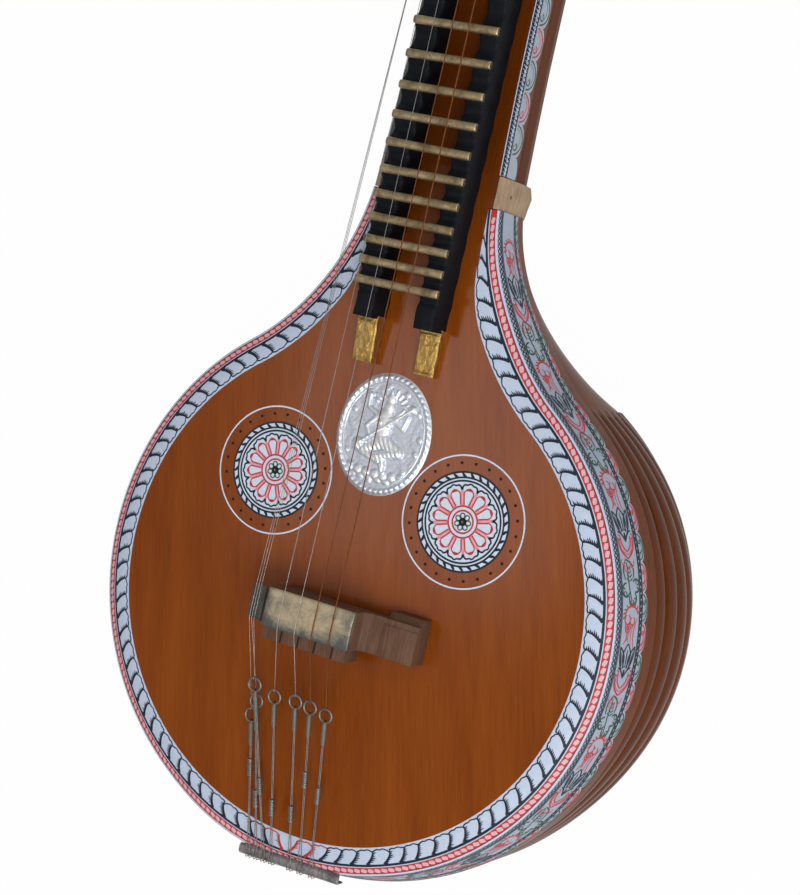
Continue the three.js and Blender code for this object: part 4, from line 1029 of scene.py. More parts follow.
class VEENA_OT_bowl(VeenaOperator):
    """Make the fluted bowl and the smooth cape that runs into the neck"""

    bl_idname = "veena.bowl"
    bl_label = "Bowl"

    def execute(self, context):
        self.make_flutes()
        self.make_cape()
        return {"FINISHED"}

    def make_flutes(self):
        """Planes through a line along the neck cut the wall in ribs, and rows on the wall close the tail."""
        axis_depth = 45.0
        axis_z = BOARD_TOP - axis_depth
        ribs = measure("rib_count")
        gap = math.pi / ribs
        phi = np.linspace(-2 * gap, math.pi + 2 * gap, (ribs + 4) * 8 + 1)[:, None]
        tail = -TAIL_SHARE * float(wall_radius(np.array(axis_depth), np.array(0.0)))
        y = tail + 0.02 + (RIDGE_Y + 3.0 - tail) * (1 - np.cos(np.linspace(0, 1, 120)[None, :] * QUARTER))

        def inside(reach):
            z = axis_z - reach * np.sin(phi)
            return (z > 0) & in_bowl(reach * np.cos(phi), y, BOARD_TOP - z)

        _, reach = halved(inside, (phi.size, y.size), 260.0, 34)
        crest = 1 - np.abs(2 * ((phi / gap) % 1.0) - 1) ** 2.6
        depth = measure("rib_depth") * clamp01(reach * gap / 9.0)
        reach = np.maximum(reach - depth * (1 - crest) - 0.05, 0.0)
        points = joined(reach * np.cos(phi), y, axis_z - reach * np.sin(phi))
        inner = reach[:, :1] * np.linspace(0, 1, 16)[None, :-1]
        x, z = inner * np.cos(phi), axis_z - inner * np.sin(phi)
        back = wall_radius(BOARD_TOP - z, np.arctan2(np.abs(x), RIM_RADIUS))
        end = joined(x, 0.05 - TAIL_SHARE * np.sqrt(back ** 2 - x ** 2), z)
        wood = lacquered_wood("fluted_lacquer", 0.46, 0.06, 0.28)
        Skin().grid(np.concatenate([end, points], axis=1)).build(
            "bowl_flutes", [wood], "lacquered_wood", ("bowl",), sharp=60)

    def make_cape(self):
        """Sections across the neck: swelling sides, a superellipse to the keel, and a lip at the ridge."""
        lip_y = RIDGE_Y - 1.5
        y = np.concatenate([np.linspace(RIDGE_Y - 6.0, RIDGE_Y - 2.0, 4), np.linspace(lip_y, JOINT_Y, 70)])
        lip = np.interp(y[4:], [lip_y, RIDGE_Y + 14], [1.2, 0.0])
        y, lip = y[:, None], np.concatenate([[-6.0, -1.0, 0.6, 1.1], lip])[:, None]
        clipped = np.maximum(y, RIDGE_Y)
        top, widest, drop, depth, power = cape_measures(clipped)
        side = lerp(12.0 / drop, 1.0, np.linspace(0, 1, 14)[None, :])
        turn = np.linspace(0, QUARTER, 40)[None, 1:]
        belly_x = widest * np.cos(turn) ** (2 / power)
        belly_depth = drop + (depth - drop) * np.sin(turn) ** (2 / power)
        x = np.concatenate([top + cape_swell(clipped, side * drop), belly_x], axis=1)
        z = BOARD_TOP - np.concatenate([side * drop, belly_depth], axis=1)
        out = unit(np.stack([x, z - BOARD_TOP + 0.4 * depth], axis=-1))
        low_share = smooth01((BOARD_TOP - z - 34.0) / 7.0)
        raised = lip * low_share - 0.5 * (1 - low_share)
        x, z = x + out[..., 0] * raised, z + out[..., 1] * raised * 0.8 * low_share
        x[:, -1] = 0.0
        wood = lacquered_wood("cape_lacquer", 0.6, 0.08, 0.16)
        Skin().grid(mirrored(x, y, z)).build("bowl_cape", [wood], "lacquered_wood", ("bowl",), sharp=60)


class VEENA_OT_border(VeenaOperator):
    """Make the white painted shell round the rim and every brush stroke on it"""

    bl_idname = "veena.border"
    bl_label = "Painted border"

    def execute(self, context):
        u = np.linspace(-RIM.length, RIM.length, 901)[:, None]
        across = np.concatenate([[-STRIP], np.linspace(-STRIP, -0.9, 18), np.linspace(-0.9, 0, 6)[1:],
                                 np.linspace(0, 41.0, 34)[1:]])
        across = across + 3.6 * np.exp(-(u / 30.0) ** 2) * clamp01((across - 37.0) / 4.0)
        points = place_on_border(u, across)
        points[:, 0, 2] -= 0.5
        _, _, nx, ny = RIM.at(u)
        tuck = points[:, -1:] - joined(nx * 7.0, ny * 7.0, 1.5 + 6.0 * np.exp(-(u / 70.0) ** 2))
        across = np.concatenate([across, across[:, -1:] + 7.0], axis=1)
        uv = np.stack(np.broadcast_arrays(u, across), axis=-1)
        ground = painted_ground("painted_ground", measure("scallop_pitch"), 28.4, 3.9)
        Skin().grid(np.concatenate([points, tuck], axis=1), uv).build(
            "border_ground", [ground], "lacquered_wood", upward=True, sharp=50)
        ink = Skin()
        border_strokes(ink)
        side_strokes(ink)
        materials = paints("ink", pink=(0.52, 0.09, 0.13), pale_green=(0.17, 0.3, 0.21),
                           pale_dash=(0.66, 0.42, 0.46))
        ink.build("border_strokes", materials, "lacquered_wood", weld=False)
        return {"FINISHED"}


class VEENA_OT_soundboard(VeenaOperator):
    """Make the bare board inside the painted strip, its tongue and the two rosettes"""

    bl_idname = "veena.soundboard"
    bl_label = "Soundboard"

    def execute(self, context):
        self.make_board()
        materials = paints("rosette", pink=(0.72, 0.24, 0.3), pale_green=(0.3, 0.45, 0.33),
                           white=pigment("enamel"))
        # Painted shade: a near black paint stands in for the dark inside of the pin holes.
        materials.append(paint("pin_hole", (0.006, 0.002, 0.001)))
        for name, centre_x, petals in (("rosette_left", -69.7, 13), ("rosette_right", 69.7, 12)):
            self.make_rosette(name, centre_x, 67.0, petals, materials)
        return {"FINISHED"}

    def make_board(self):
        """A plate whose half width at each y is read off the strip's inner edge, then off the tongue."""
        edge_x, edge_y = RIM.inner_edge(np.linspace(0.0, RIM.length, 900))
        y = lerp(edge_y[0], JOINT_Y, 1 - np.cos(np.linspace(0, 1, 90) * QUARTER))
        y = np.concatenate([y, [JOINT_Y + 0.05, TONGUE_Y]])[:, None]
        half = np.interp(y, np.maximum.accumulate(edge_y), edge_x) + 0.7
        half[0], half[-2:] = 0.3, TONGUE_HALF
        share = np.concatenate([np.linspace(-1, 1, 25), np.linspace(1, -1, 25)])
        points = joined(half * share, y, np.repeat([BOARD_TOP, BOARD_TOP - 3.0], 25))
        # The last number is the strength of the painted shade towards the collar.
        wood = lacquered_wood("board_lacquer", 1.0, 0.16, 0.45, 0.26, 0.45)
        Skin().loft(points).build("board", [wood], "lacquered_wood", ("soundboard",), sharp=30)

    def make_rosette(self, name, cx, cy, petals, materials):
        """Rings and petals as strokes in a flat frame round the sound hole."""
        # dark is the painted shade of the pin holes.
        white, dark = 5, 6
        level = BOARD_TOP + 0.16

        def place(u, v, lift):
            return joined(cx + u, cy + v, level + lift)

        def ring(r, half, finish, lift=0.1):
            skin.ribbons(oval(0, 0, r, r, steps=97), half, place, finish, lift)

        def around(shape, count, half, finish, lift=0.12, phase=0.0):
            turn = TURN * (np.arange(count)[:, None] + phase) / count
            skin.ribbons(turned(shape[None], turn), half, place, finish, lift)

        skin = Skin()
        angle = np.linspace(0, TURN, 97)[:-1, None]
        radius, height = np.array([0.6, 0.7, 31.8, 32.0]), np.array([-0.4, 0.0, 0.0, -0.4])
        skin.grid(place(radius * np.cos(angle), radius * np.sin(angle), height), wrap_rows=True, finish=white,
                  flip=True)
        ring(42.0, 0.5, white, 0.05)
        # Painted shade: 24 dark dots stand in for the ring of pin holes.
        around(oval(37.2, 0, 0.5, 0.5, steps=9), 24, 0.52, dark, 0.05)
        for r, half in ((31.4, 0.6), (28.0, 0.6), (25.9, 0.62)):
            ring(r, half, NAVY)
        around(bow(28.2, -1.4, 31.2, 1.7, 0.4, 5), 32, np.array([0.4, 0.75, 0.9, 0.75, 0.4]), NAVY, 0.13)
        ring(10.0, 0.55, RED)
        ring(7.1, 0.55, RED)
        ring(8.55, 0.7, white, 0.13)
        half = math.pi / petals
        turn = np.linspace(-half, half, 19)
        humps = 20.6 + 3.3 * np.abs(np.cos(turn / half * QUARTER)) ** 0.45 + 0.35 * np.cos(turn / half * 9.0)
        scallop = np.stack([humps * np.cos(turn), humps * np.sin(turn)], axis=-1)
        around(scallop, petals, np.interp(np.abs(turn / half), [0, 1], [0.5, 0.62]), NAVY, 0.13)
        wide = 19.8 * math.tan(half)
        cap = oval(17.6, 0, 2.9, wide * 0.62, 0, -1.7, 1.7, 13)
        around(np.concatenate([[(10.6, -wide * 0.3)], cap, [(10.6, wide * 0.3)]]), petals, 0.42, RED)
        around(cap[3:-3], petals, np.array([0.3, 0.6, 0.85, 1.0, 0.85, 0.6, 0.3]), RED, 0.13)
        for side in (-1, 1):
            line = np.array([(10.2, 0.44), (15.0, 0.62), (19.5, 0.9), (21.2, 0.98)]) * (1, side * wide)
            around(line, petals, np.array([0.4, 0.45, 0.4, 0.25]), PINK, 0.1)
        around(oval(3.9, 0, 1.75, 1.5, steps=10), 7, 0.4, GREEN)
        around(bow(2.2, 0, 5.2, 0, 0.0, 3), 7, np.array([0.5, 0.4, 0.2]), PALE_GREEN, 0.1, 0.5)
        # Painted shade: a dark ring stands in for the inside of the middle pin hole.
        ring(1.6, 0.9, dark, 0.14)
        skin.build(name, materials, "lacquered_wood", upward=True)


class VEENA_OT_plaque(VeenaOperator):
    """Make the oval plaque of pressed metal with its seated figure"""

    bl_idname = "veena.plaque"
    bl_label = "Plaque"

    def execute(self, context):
        rho = np.concatenate([[1e-4], np.linspace(0.012, 1.0, 110)])[:, None]
        theta = np.linspace(0, TURN, 361)[None, :-1]
        x, y = 33.8 * rho * np.cos(theta), 39.7 * rho * np.sin(theta)
        points = joined(2.0 + x, 107.6 + y, BOARD_TOP + 0.2 + self.relief(x, y, rho, theta) * 0.8)
        skirt = points[-1:].copy()
        skirt[..., 2] = BOARD_TOP + 0.05
        points[0] = points[0].mean(axis=0)
        Skin().grid(np.concatenate([points, skirt]), wrap_columns=True).build(
            "plaque", [self.silver()], "plated_metal", upward=True, sharp=70)
        return {"FINISHED"}

    def silver(self):
        """Pressed bright metal: clean on the high places and grey in the hollows."""
        make = Finish("pressed_silver")
        place = make.place()
        high = (place[2] - 201.2).rises(0.9, 2.2)
        stain = make.noise(place, 0.2, 4.0)
        fine = make.noise(place, 1.1)
        tone = make.blend((high * 0.8 + stain * 0.3).clip(), (0.68, 0.75, 0.86), (0.95, 0.98, 1.0))
        return make.shade(tone, 0.36 + 0.12 * stain, metal=0.8, normal=make.bump(fine, 0.45, 0.5))

    def relief(self, x, y, rho, theta):
        """Highest of rounded strokes and knobs: halo, crowned head, arms, crossed legs, instrument, lotus."""

        def stroke(x0, y0, x1, y1, r0, r1, tall):
            dx, dy = x1 - x0, y1 - y0
            t = clamp01(((x - x0) * dx + (y - y0) * dy) / (dx * dx + dy * dy))
            distance = np.hypot(x - x0 - dx * t, y - y0 - dy * t)
            return tall * np.sqrt(clamp01(1 - (distance / lerp(r0, r1, t)) ** 2))

        def knob(cx, cy, rx, ry, tall):
            return tall * np.sqrt(clamp01(1 - ((x - cx) / rx) ** 2 - ((y - cy) / ry) ** 2))

        knobs = [
            (0.5, 17.5, 4.0, 4.8, 3.9), (0.5, 23.2, 3.4, 4.2, 3.2), (-3.0, 7.0, 2.7, 2.6, 3.9),
            (2.8, 7.0, 2.7, 2.6, 3.9), (-14.5, 23.0, 2.6, 2.4, 2.9), (-15.5, -9.5, 5.0, 4.6, 3.9),
            (17.0, 19.5, 3.4, 3.0, 3.4), (5.6, -24.0, 2.8, 1.6, 3.0),
        ]
        strokes = [
            (0.5, 25, 0.5, 29, 2.2, 0.9, 2.6), (-0.5, 12, -0.8, 0, 5.4, 4.4, 3.3),
            (-6.2, 10.5, 6.4, 10.5, 2.8, 2.8, 3.0), (-6.5, 10, -12.5, 3.0, 2.4, 1.9, 3.0),
            (-12.5, 3.0, -8.0, -3.0, 1.9, 1.6, 3.1), (6.7, 10, 13.0, 6.5, 2.4, 1.9, 3.0),
            (13.0, 6.5, 15.5, 14.0, 1.9, 1.4, 3.0), (-6.0, 11.5, -14.0, 15.5, 2.0, 1.6, 2.5),
            (-14.0, 15.5, -14.5, 21.5, 1.6, 1.3, 2.5), (6.2, 11.5, 11.5, 18.0, 2.0, 1.5, 2.5),
            (-15.5, -9.0, 17.5, 19.5, 1.5, 1.2, 4.0), (0, -4, 13.5, -9.5, 5.4, 3.9, 3.6),
            (13.5, -9.5, -2.0, -14.5, 3.7, 2.7, 3.9), (0, -5, -12.0, -12.0, 5.2, 3.4, 3.3),
            (-12.0, -13.0, 1.0, -17.0, 3.0, 2.4, 3.3), (3.0, -14.5, 4.5, -22.5, 3.0, 2.0, 3.2),
        ]
        for k in range(9):
            turn = math.pi * (0.12 + 0.76 * k / 8)
            cos_turn, sin_turn = math.cos(turn), math.sin(turn)
            strokes.append((9.975 * cos_turn, 17 + 8.5 * sin_turn, 13.75 * cos_turn, 17 + 12.5 * sin_turn,
                            1.3, 0.8, 1.7))
        for k in range(7):
            cx = -19.0 + 6.3 * k
            knobs += [(cx, -24.8 - 1.4 * math.cos(0.5 * k - 1.5), 3.4, 3.6, 2.5),
                      (cx + 3.0, -29.0, 3.0, 2.5, 2.1)]
        for k in range(12):
            turn = math.pi * ((1.08 + 0.84 * k / 11) if k % 2 else (0.02 + 0.94 * k / 11))
            knobs.append((26.0 * math.cos(turn), 31.0 * math.sin(turn), 2.3, 2.3, 1.4))
        figure = np.maximum.reduce([knob(*form) for form in knobs] + [stroke(*form) for form in strokes])
        folds = 0.22 * np.sin(1.9 * x + 1.1 * y) * ((y < -2) & (y > -20))
        figure = (figure + np.where(figure > 1.0, folds, 0.0)) * (rho < 0.84)
        rope = 0.6 + 0.55 * np.abs(np.sin(26 * theta + 9 * rho))
        rim = 1.9 * rope * np.exp(-((rho - 0.93) / 0.045) ** 2)
        inner_line = 0.9 * np.exp(-((rho - 0.845) / 0.014) ** 2)
        ground = 0.5 + 0.35 * soft_noise(x * 0.42, y * 0.42, 2.0) * (rho < 0.83)
        high = np.maximum(np.maximum(ground, figure), np.maximum(rim, inner_line))
        return 0.35 * (1 - rho ** 2) + high - 0.5 * smooth01((rho - 0.975) / 0.025)


class VEENA_OT_neck(VeenaOperator):
    """Finish the neck and its plank, make the collar, and paint the stripes along the neck's sides"""

    bl_idname = "veena.neck"
    bl_label = "Neck"

    def execute(self, context):
        finish_node("neck", lacquered_wood("neck_lacquer", 0.5, 0.12, 0.0))
        finish_node("neck_top", lacquered_wood("plank_lacquer", 0.5, 0.2, 0.1))
        self.make_collar()
        materials = paints("stripe", pink=(0.62, 0.2, 0.2), pale_green=(0.2, 0.33, 0.25))
        materials.append(painted_ground("stripe_ground", NECK_PETAL, 10.4, 6.0))
        for side, name in ((-1, "neck_stripes_left"), (1, "neck_stripes_right")):
            self.make_stripes(side, name, materials)
        return {"FINISHED"}

    def make_collar(self):
        """Sections across the neck: a straight side from the top's edge, then a superellipse to the keel."""
        y = np.array([262.35, 268.5, 276.0, 282.75])[:, None]
        swell = np.array([1.8, 2.8, 4.2, 2.4])[:, None]
        half = neck_half_width(y)
        widest_z = 176.0
        turn = np.linspace(0, QUARTER, 24)[None, 1:]
        belly_x = (half + swell) * np.cos(turn) ** (2 / 2.6)
        belly_x[:, -1] = 0.0
        belly_z = widest_z - (44.0 + swell * 0.5) * np.sin(turn) ** (2 / 2.6)
        lip = np.full(half.shape, TONGUE_HALF + 0.3)
        x = np.concatenate([lip, lip, half - 0.1, half + swell, belly_x], axis=1)
        z = np.concatenate([np.tile([196.6, BOARD_TOP, BOARD_TOP, widest_z], (4, 1)), belly_z], axis=1)
        Skin().loft(mirrored(x, y, z)).build(
            "collar", [self.knotted_wood()], "bare_wood", ("joint_collar",), sharp=22)

    def knotted_wood(self):
        """Bare pale wood with fine streaks along the neck and one small dark knot."""
        make = Finish("collar_wood")
        x, y, z = place = make.place()
        streaks = make.noise(place, (0.5, 0.06, 0.5), 4.0, 0.6, 0.3)
        stains = make.noise(place, 0.08)
        dy, dz = y - 272.0, z - 188.0
        knot = (1.0 - (dy * dy * 0.5 + dz * dz).root().rises(0.9, 0.9)) * x.rises(30.0, 1.0)
        wood = make.ramp((streaks * 0.7 + stains * 0.3).clip(), (0.3, (0.27, 0.19, 0.125)),
                         (0.7, (0.54, 0.4, 0.26)))
        wood = make.blend(knot * 0.85, wood, (0.035, 0.02, 0.012))
        return make.shade(wood, 0.6 + 0.2 * streaks, specular=0.2, normal=make.bump(streaks, 0.2, 0.3))

    def make_stripes(self, side, name, materials):
        """A painted shell over one side of the neck: a top edge strip, then a band with a petal fringe."""
        start, end, edge = 283.4, 847.6, 0.7
        skin = Skin()

        def place(u, across, lift):
            y = np.clip(u, start, end)
            turn = clamp01((across + edge) / edge) * QUARTER
            out = np.where(across < -edge, across, -edge + edge * np.sin(turn))
            down = np.where(across < -edge, 0.0, edge * (1 - np.cos(turn))) + np.maximum(across, 0.0)
            x = neck_half_width(y) + out + (LIFT + lift) * np.sin(turn)
            return joined(side * x, y, BOARD_TOP + 0.15 - down + lift * np.cos(turn))

        def draw(paths, half, finish, lift):
            skin.ribbons(paths if side > 0 else paths[..., ::-1, :], half, place, finish, lift)

        u = np.linspace(start, end, 420)[:, None]
        top_part = np.linspace(-3.2, -edge, 4) if side > 0 else np.array([-edge])
        across = np.concatenate([top_part[:1], top_part, np.linspace(-edge, 0, 5)[1:],
                                 np.linspace(0, 18.0, 12)[1:]])
        ground = place(u, across[None, :], 0.0)
        ground[:, 0, 2] -= 0.4
        tuck = ground[:, -1:] - (side * 0.8, 0.0, 0.0)
        uv = np.stack(np.broadcast_arrays(u, np.append(across, across[-1])[None, :]), axis=-1)
        skin.grid(np.concatenate([ground, tuck], axis=1), uv, finish=5, flip=side < 0)
        shift = 0.0 if side > 0 else 2.0
        for line in (-2.0 + shift, 2.2 + shift):
            draw(np.concatenate([u, np.full(u.shape, line)], axis=1), 0.42, NAVY, 0.08)
        t = np.linspace(start, end, 1300)
        for phase in (0.0, 0.5):
            wave = 0.1 + shift + 1.5 * np.sin(TURN * (t / 5.4 + phase))
            draw(np.stack([t, wave], axis=-1), 0.55, NAVY, 0.1)
        centres = NECK_PETAL * np.arange(math.ceil((start + 6) / NECK_PETAL), int((end - 6) / NECK_PETAL) + 1)
        for parity, colour, pale in ((0, GREEN, PALE_GREEN), (1, RED, PINK)):
            for shape, half, tone in ((oval(0, 3.4, 9.2, 11.8, 0.0, 0.1, math.pi - 0.1, 15), 0.55, colour),
                                      (oval(0.5, 3.4, 6.6, 8.6, 0.0, 0.1, math.pi - 0.5, 11), 0.5, pale),
                                      (oval(-4.2, 6.0, 2.2, 2.6, 0.0, 0.2, 4.6, 9), 0.5, colour),
                                      (bow(-4.0, 3.4, -1.6, 7.6, 0.6, 4), 0.46, pale)):
                draw(spread(shape, centres[parity::2]), half, tone, 0.12)
        skin.build(name, materials, "lacquered_wood", weld=False)


def ledge(side, y, rows):
    """Sections of a ledge on the board, from rows of places across and heights."""
    across, height = (np.stack([np.broadcast_to(row[k], y.shape) for row in rows], axis=1) for k in (0, 1))
    return Skin().loft(joined(side * across, y[:, None], BOARD_TOP + height))


class VEENA_OT_rails(VeenaOperator):
    """Make the scalloped wax rails and the foil over their ends"""

    bl_idname = "veena.rails"
    bl_label = "Wax rails"

    def execute(self, context):
        for side, word in ((-1, "left"), (1, "right")):
            self.make_rail(side, "wax_rail_" + word)
            self.make_foil(side, "foil_" + word)
        return {"FINISHED"}

    def crest(self, y):
        """Height of the rail: full under each fret, with a rounded dip between one fret and the next."""
        frets = BRIDGE_LINE_Y + STRING_LENGTH * 2 ** (-np.arange(FRET_COUNT + 1, -1, -1) / 12)
        k = np.clip(np.searchsorted(frets, y) - 1, 0, len(frets) - 2)
        low, high = frets[k] + 3.4, frets[k + 1] - 3.4
        share = clamp01((y - low) / np.maximum(high - low, 1e-6))
        return 21.7 - np.minimum(3.2, (high - low) * 0.3) * np.sin(math.pi * share) ** 1.1

    def make_rail(self, side, name):
        """A wavy ledge with rounded top edges. The left one leans out to the plank's edge at its foot."""
        y = np.linspace(178.5, 832.5, 560)
        top = self.crest(y)
        top = np.where(y < 190, np.maximum(top, 20.2), top)
        height = top + 0.105 * soft_noise(y * 0.11, y * 0.031, 4.0 + side)
        inner = 14.8 + 0.25 * np.cos(y * 0.35)
        outer = foot = 28.7 - 0.25 * np.cos(y * 0.33 + 1)
        if side < 0:
            outer = outer + 2.4 * smooth01((y - 190.0) / 20.0)
            plank = np.minimum(neck_half_width(y) - 0.1, 42.0)
            foot = lerp(outer, plank, smooth01((y - 225.0) / 60.0))
        base, edge = 0.35, 2.2
        corner = [(edge * (1 - math.cos(c)), edge * (1 - math.sin(c))) for c in np.linspace(0, QUARTER, 5)]
        rows = [(inner, base), (inner + 0.1, height * 0.5)]
        rows += [(inner + a, height - b) for a, b in corner]
        rows += [(outer - a, height - b) for a, b in corner[::-1]]
        rows += [(lerp(outer, foot, 0.25), height * 0.5), (foot, base)]
        ledge(side, y, rows).build(name + "_wax", [wax()], "black_wax", (name,), sharp=50)

    def make_foil(self, side, name):
        """A box with rounded edges and crinkled faces over the rail's low end, with two raised folds."""
        y = np.linspace(150.2, 180.6, 46)
        if side > 0:
            height = np.interp(y, [150.2, 180.6], [5.0, 7.4])
        else:
            height = np.interp(y, [150.2, 178.2, 178.3, 180.6], [8.0, 12.0, 12.0, 11.4])
        height = height + 0.8 * np.exp(-((y - 151.4) / 0.9) ** 2) + 0.6 * np.exp(-((y - 176.0) / 0.8) ** 2)
        crinkle = 0.28 * soft_noise(y * 0.9, y * 0.4, 7.0 + side)
        inner, outer, base, edge = 14.4, 29.1, 0.1, 1.3
        corner = [(edge * (1 - math.cos(c)), edge * (1 - math.sin(c))) for c in np.linspace(0, QUARTER, 6)]
        rows = [(inner, base)]
        rows += [(inner + a + crinkle * 0.4, height - b + crinkle) for a, b in corner]
        for share in (0.25, 0.5, 0.75):
            wave = 0.3 * soft_noise(y * 0.7 + 9 * share, y * 0.3, 3.0 + side)
            rows.append((lerp(inner, outer, share), height + wave))
        rows += [(outer - a - crinkle * 0.4, height - b - crinkle * 0.6) for a, b in corner[::-1]]
        rows.append((outer, base))
        ledge(side, y, rows).build(name, [foil()], "worn_brass", sharp=35)


class VEENA_OT_frets(VeenaOperator):
    """Make the worn brass fret bars and the nut"""

    bl_idname = "veena.frets"
    bl_label = "Frets"

    def execute(self, context):
        """Bars with a half round section, pinched at both ends, leaning a little and worn by the strings."""
        brass = metal("fret_brass", (0.62, 0.5, 0.3), (0.16, 0.11, 0.055), 0.42, 0.85)
        across = np.array([-2.7, -2.7, -2.55, -2.1, -1.3, 0, 1.3, 2.1, 2.55, 2.7, 2.7])
        tall = np.array([0.0, 1.6, 2.3, 2.9, 3.25, 3.4, 3.25, 2.9, 2.3, 1.6, 0.0])
        x = np.concatenate([[-30.8, -30.6, -30.2], np.linspace(-29.5, 27.5, 24), [28.2, 28.6, 28.8]])[:, None]
        pinch = np.interp(x, [-30.8, -30.6, -30.2, -29.5, 27.5, 28.2, 28.6, 28.8],
                          [0.82, 0.9, 0.97, 1.0, 1.0, 0.97, 0.9, 0.82])
        for n in range(1, FRET_COUNT + 1):
            y = BRIDGE_LINE_Y + STRING_LENGTH * 2 ** (-n / 12)
            wear = np.abs(0.16 * np.sin(x * 0.21 + n * 1.7) * np.exp(-(x / 22) ** 2))
            lean = 0.25 * float(hash_noise(n, 5)) * x / 28.8
            points = joined(x, y + across * pinch + lean, BOARD_TOP + 22.0 + tall * pinch - wear * (tall > 2))
            name = f"fret_{n:02d}"
            Skin().loft(points).build(name + "_bar", [brass], "worn_brass", (name,), sharp=45)
        dressed_copy("nut", "nut_bone", bare_wood("bone", (0.78, 0.7, 0.52), 0.4), 0.6)
        return {"FINISHED"}


class VEENA_OT_bridge(VeenaOperator):
    """Make the bridge's wooden body, its brass top and the side bridge"""

    bl_idname = "veena.bridge"
    bl_label = "Bridge"

    def execute(self, context):
        dressed_copy("bridge_body", "bridge_wood", self.wood_with_slot_shade(), 0.8)
        self.make_plate()
        plate = metal("side_plate", (0.24, 0.24, 0.21), (0.07, 0.065, 0.055), 0.48, 0.9)
        dressed_copy("side_bridge", "side_bridge_metal", plate, 0.35)
        return {"FINISHED"}

    def wood_with_slot_shade(self):
        """Dark reddish streaked wood, with a narrow black stripe of painted shade in the low ledge under each
        string, standing in for a slot.
        """
        make = Finish("bridge_brown")
        x, y, z = place = make.place()
        streaks = make.noise(place, (0.8, 0.05, 0.8), 5.0, 0.65, 0.3)
        stains = make.noise(place, 0.06)
        wood = make.ramp((streaks * 0.7 + stains * 0.3).clip(), (0.3, (0.075, 0.038, 0.024)),
                         (0.52, (0.14, 0.07, 0.042)), (0.72, (0.2, 0.11, 0.07)))
        low_ledge = (y * -1.0).rises(26.5, 0.6)
        # Painted shade: a black stripe under each string stands in for the shaded inside of a slot that the
        # ledge has not got.
        for string_x in (-23.7, -10.9, 1.4, 14.1):
            slot = 1.0 - abs(x - string_x).rises(0.75, 0.4)
            wood = make.blend(slot * low_ledge * 0.9, wood, (0.012, 0.006, 0.004))
        return make.shade(wood, 0.55 + 0.2 * streaks, specular=0.3, normal=make.bump(streaks, 0.3, 0.3))

    def make_plate(self):
        """A slab with a parabola for its top, rounded long edges and a slight hammered wave."""
        base = 32.0
        share = np.concatenate([[-1.0, -1.0], np.linspace(-0.985, 0.985, 26), [1.0, 1.0]])[None, :]
        x = np.concatenate([[-35.5, -35.4, -35.0], np.linspace(-34.3, 26.3, 40), [27.0, 27.4, 27.5]])[:, None]
        y = BRIDGE_Y + BRIDGE_HALF * share
        top = 35.0 - share ** 2 - 0.35 * clamp01((np.abs(share) - 0.94) / 0.06) ** 2
        top = top - 0.35 * clamp01((np.abs(x + 4.0) - 30.4) / 1.1) ** 2
        top = top + 0.05 * soft_noise(x * 0.25, y * 0.25, 1.0)
        top[:, 0] = top[:, -1] = base
        points = joined(x, y, BOARD_TOP + top)
        first = points[:1].copy()
        first[..., 2] = BOARD_TOP + base
        Skin().grid(np.concatenate([first, points]), wrap_columns=True).build(
            "bridge_plate_brass", [self.aged_brass()], "worn_brass", ("bridge_plate",))

    def aged_brass(self):
        """Brass rubbed bright in the middle and stained brown near its far edges."""
        make = Finish("bridge_brass")
        x, y, z = place = make.place()
        stain = make.noise(place, (0.07, 0.09, 0.07), 5.0, 0.65, 0.8)
        spots = make.noise(place, 0.5, 4.0, 0.7)
        edge = ((x - 12.0) / 18.0).clip() * 0.3 + ((y * -1.0 - 18.5) / 9.0).clip() * 0.65
        edge = edge + ((x * -1.0 - 29.0) / 5.0).clip() * 0.5
        share = ((stain * 0.9 + spots * 0.35 + edge * 0.6) - 0.56).rises(0.22, 0.4)
        tone = make.blend(share, (0.66, 0.56, 0.38), (0.17, 0.18, 0.175))
        return make.shade(tone, 0.45 + 0.2 * stain + 0.1 * share, metal=1.0,
                          normal=make.bump(spots + stain, 0.14, 0.4))


class Hanger:
    """The line from a string's ring to its hook on the tail bar."""

    def __init__(self, ring, tail_x):
        self.ring = np.array(ring)
        self.inner = -174.1 + 0.036 * (tail_x - 5.0)
        self.tail = np.array([tail_x, self.inner - 1.75, TAIL_TOP + 0.68])
        self.along = unit(self.tail - self.ring)
        self.sideways = unit(np.cross(self.along, (0.0, 0.0, 1.0)))
        self.up = np.cross(self.sideways, self.along)


def circle(middle, radius, turn, first, second):
    """Points at the given turns round a middle, from the first axis towards the second."""
    return middle + radius * (np.cos(turn)[:, None] * first + np.sin(turn)[:, None] * second)


MAIN_RINGS = ((-20.6, -71.7, 223.0), (-5.1, -70.5, 223.0), (6.0, -71.1, 223.0), (18.0, -72.8, 223.0))
SIDE_RINGS = ((-40.5, -90.6, 211.0), (-36.5, -79.6, 216.0), (-35.5, -67.7, 225.0))


def smooth_path(points, steps):
    """Corners rounded by a Catmull-Rom curve sampled evenly between its points."""
    points = np.asarray(points, dtype=float)
    padded = np.concatenate([2 * points[:1] - points[1:2], points, 2 * points[-1:] - points[-2:-1]])
    t = np.linspace(0, 1, steps, endpoint=False)[:, None]
    a, b, c, d = padded[:-3, None], padded[1:-2, None], padded[2:-1, None], padded[3:, None]
    square, cube = 2 * a - 5 * b + 4 * c - d, 3 * b - a - 3 * c + d
    curve = (2 * b + (c - a) * t + square * t ** 2 + cube * t ** 3) / 2
    return np.concatenate([curve.reshape(-1, points.shape[1]), points[-1:]])


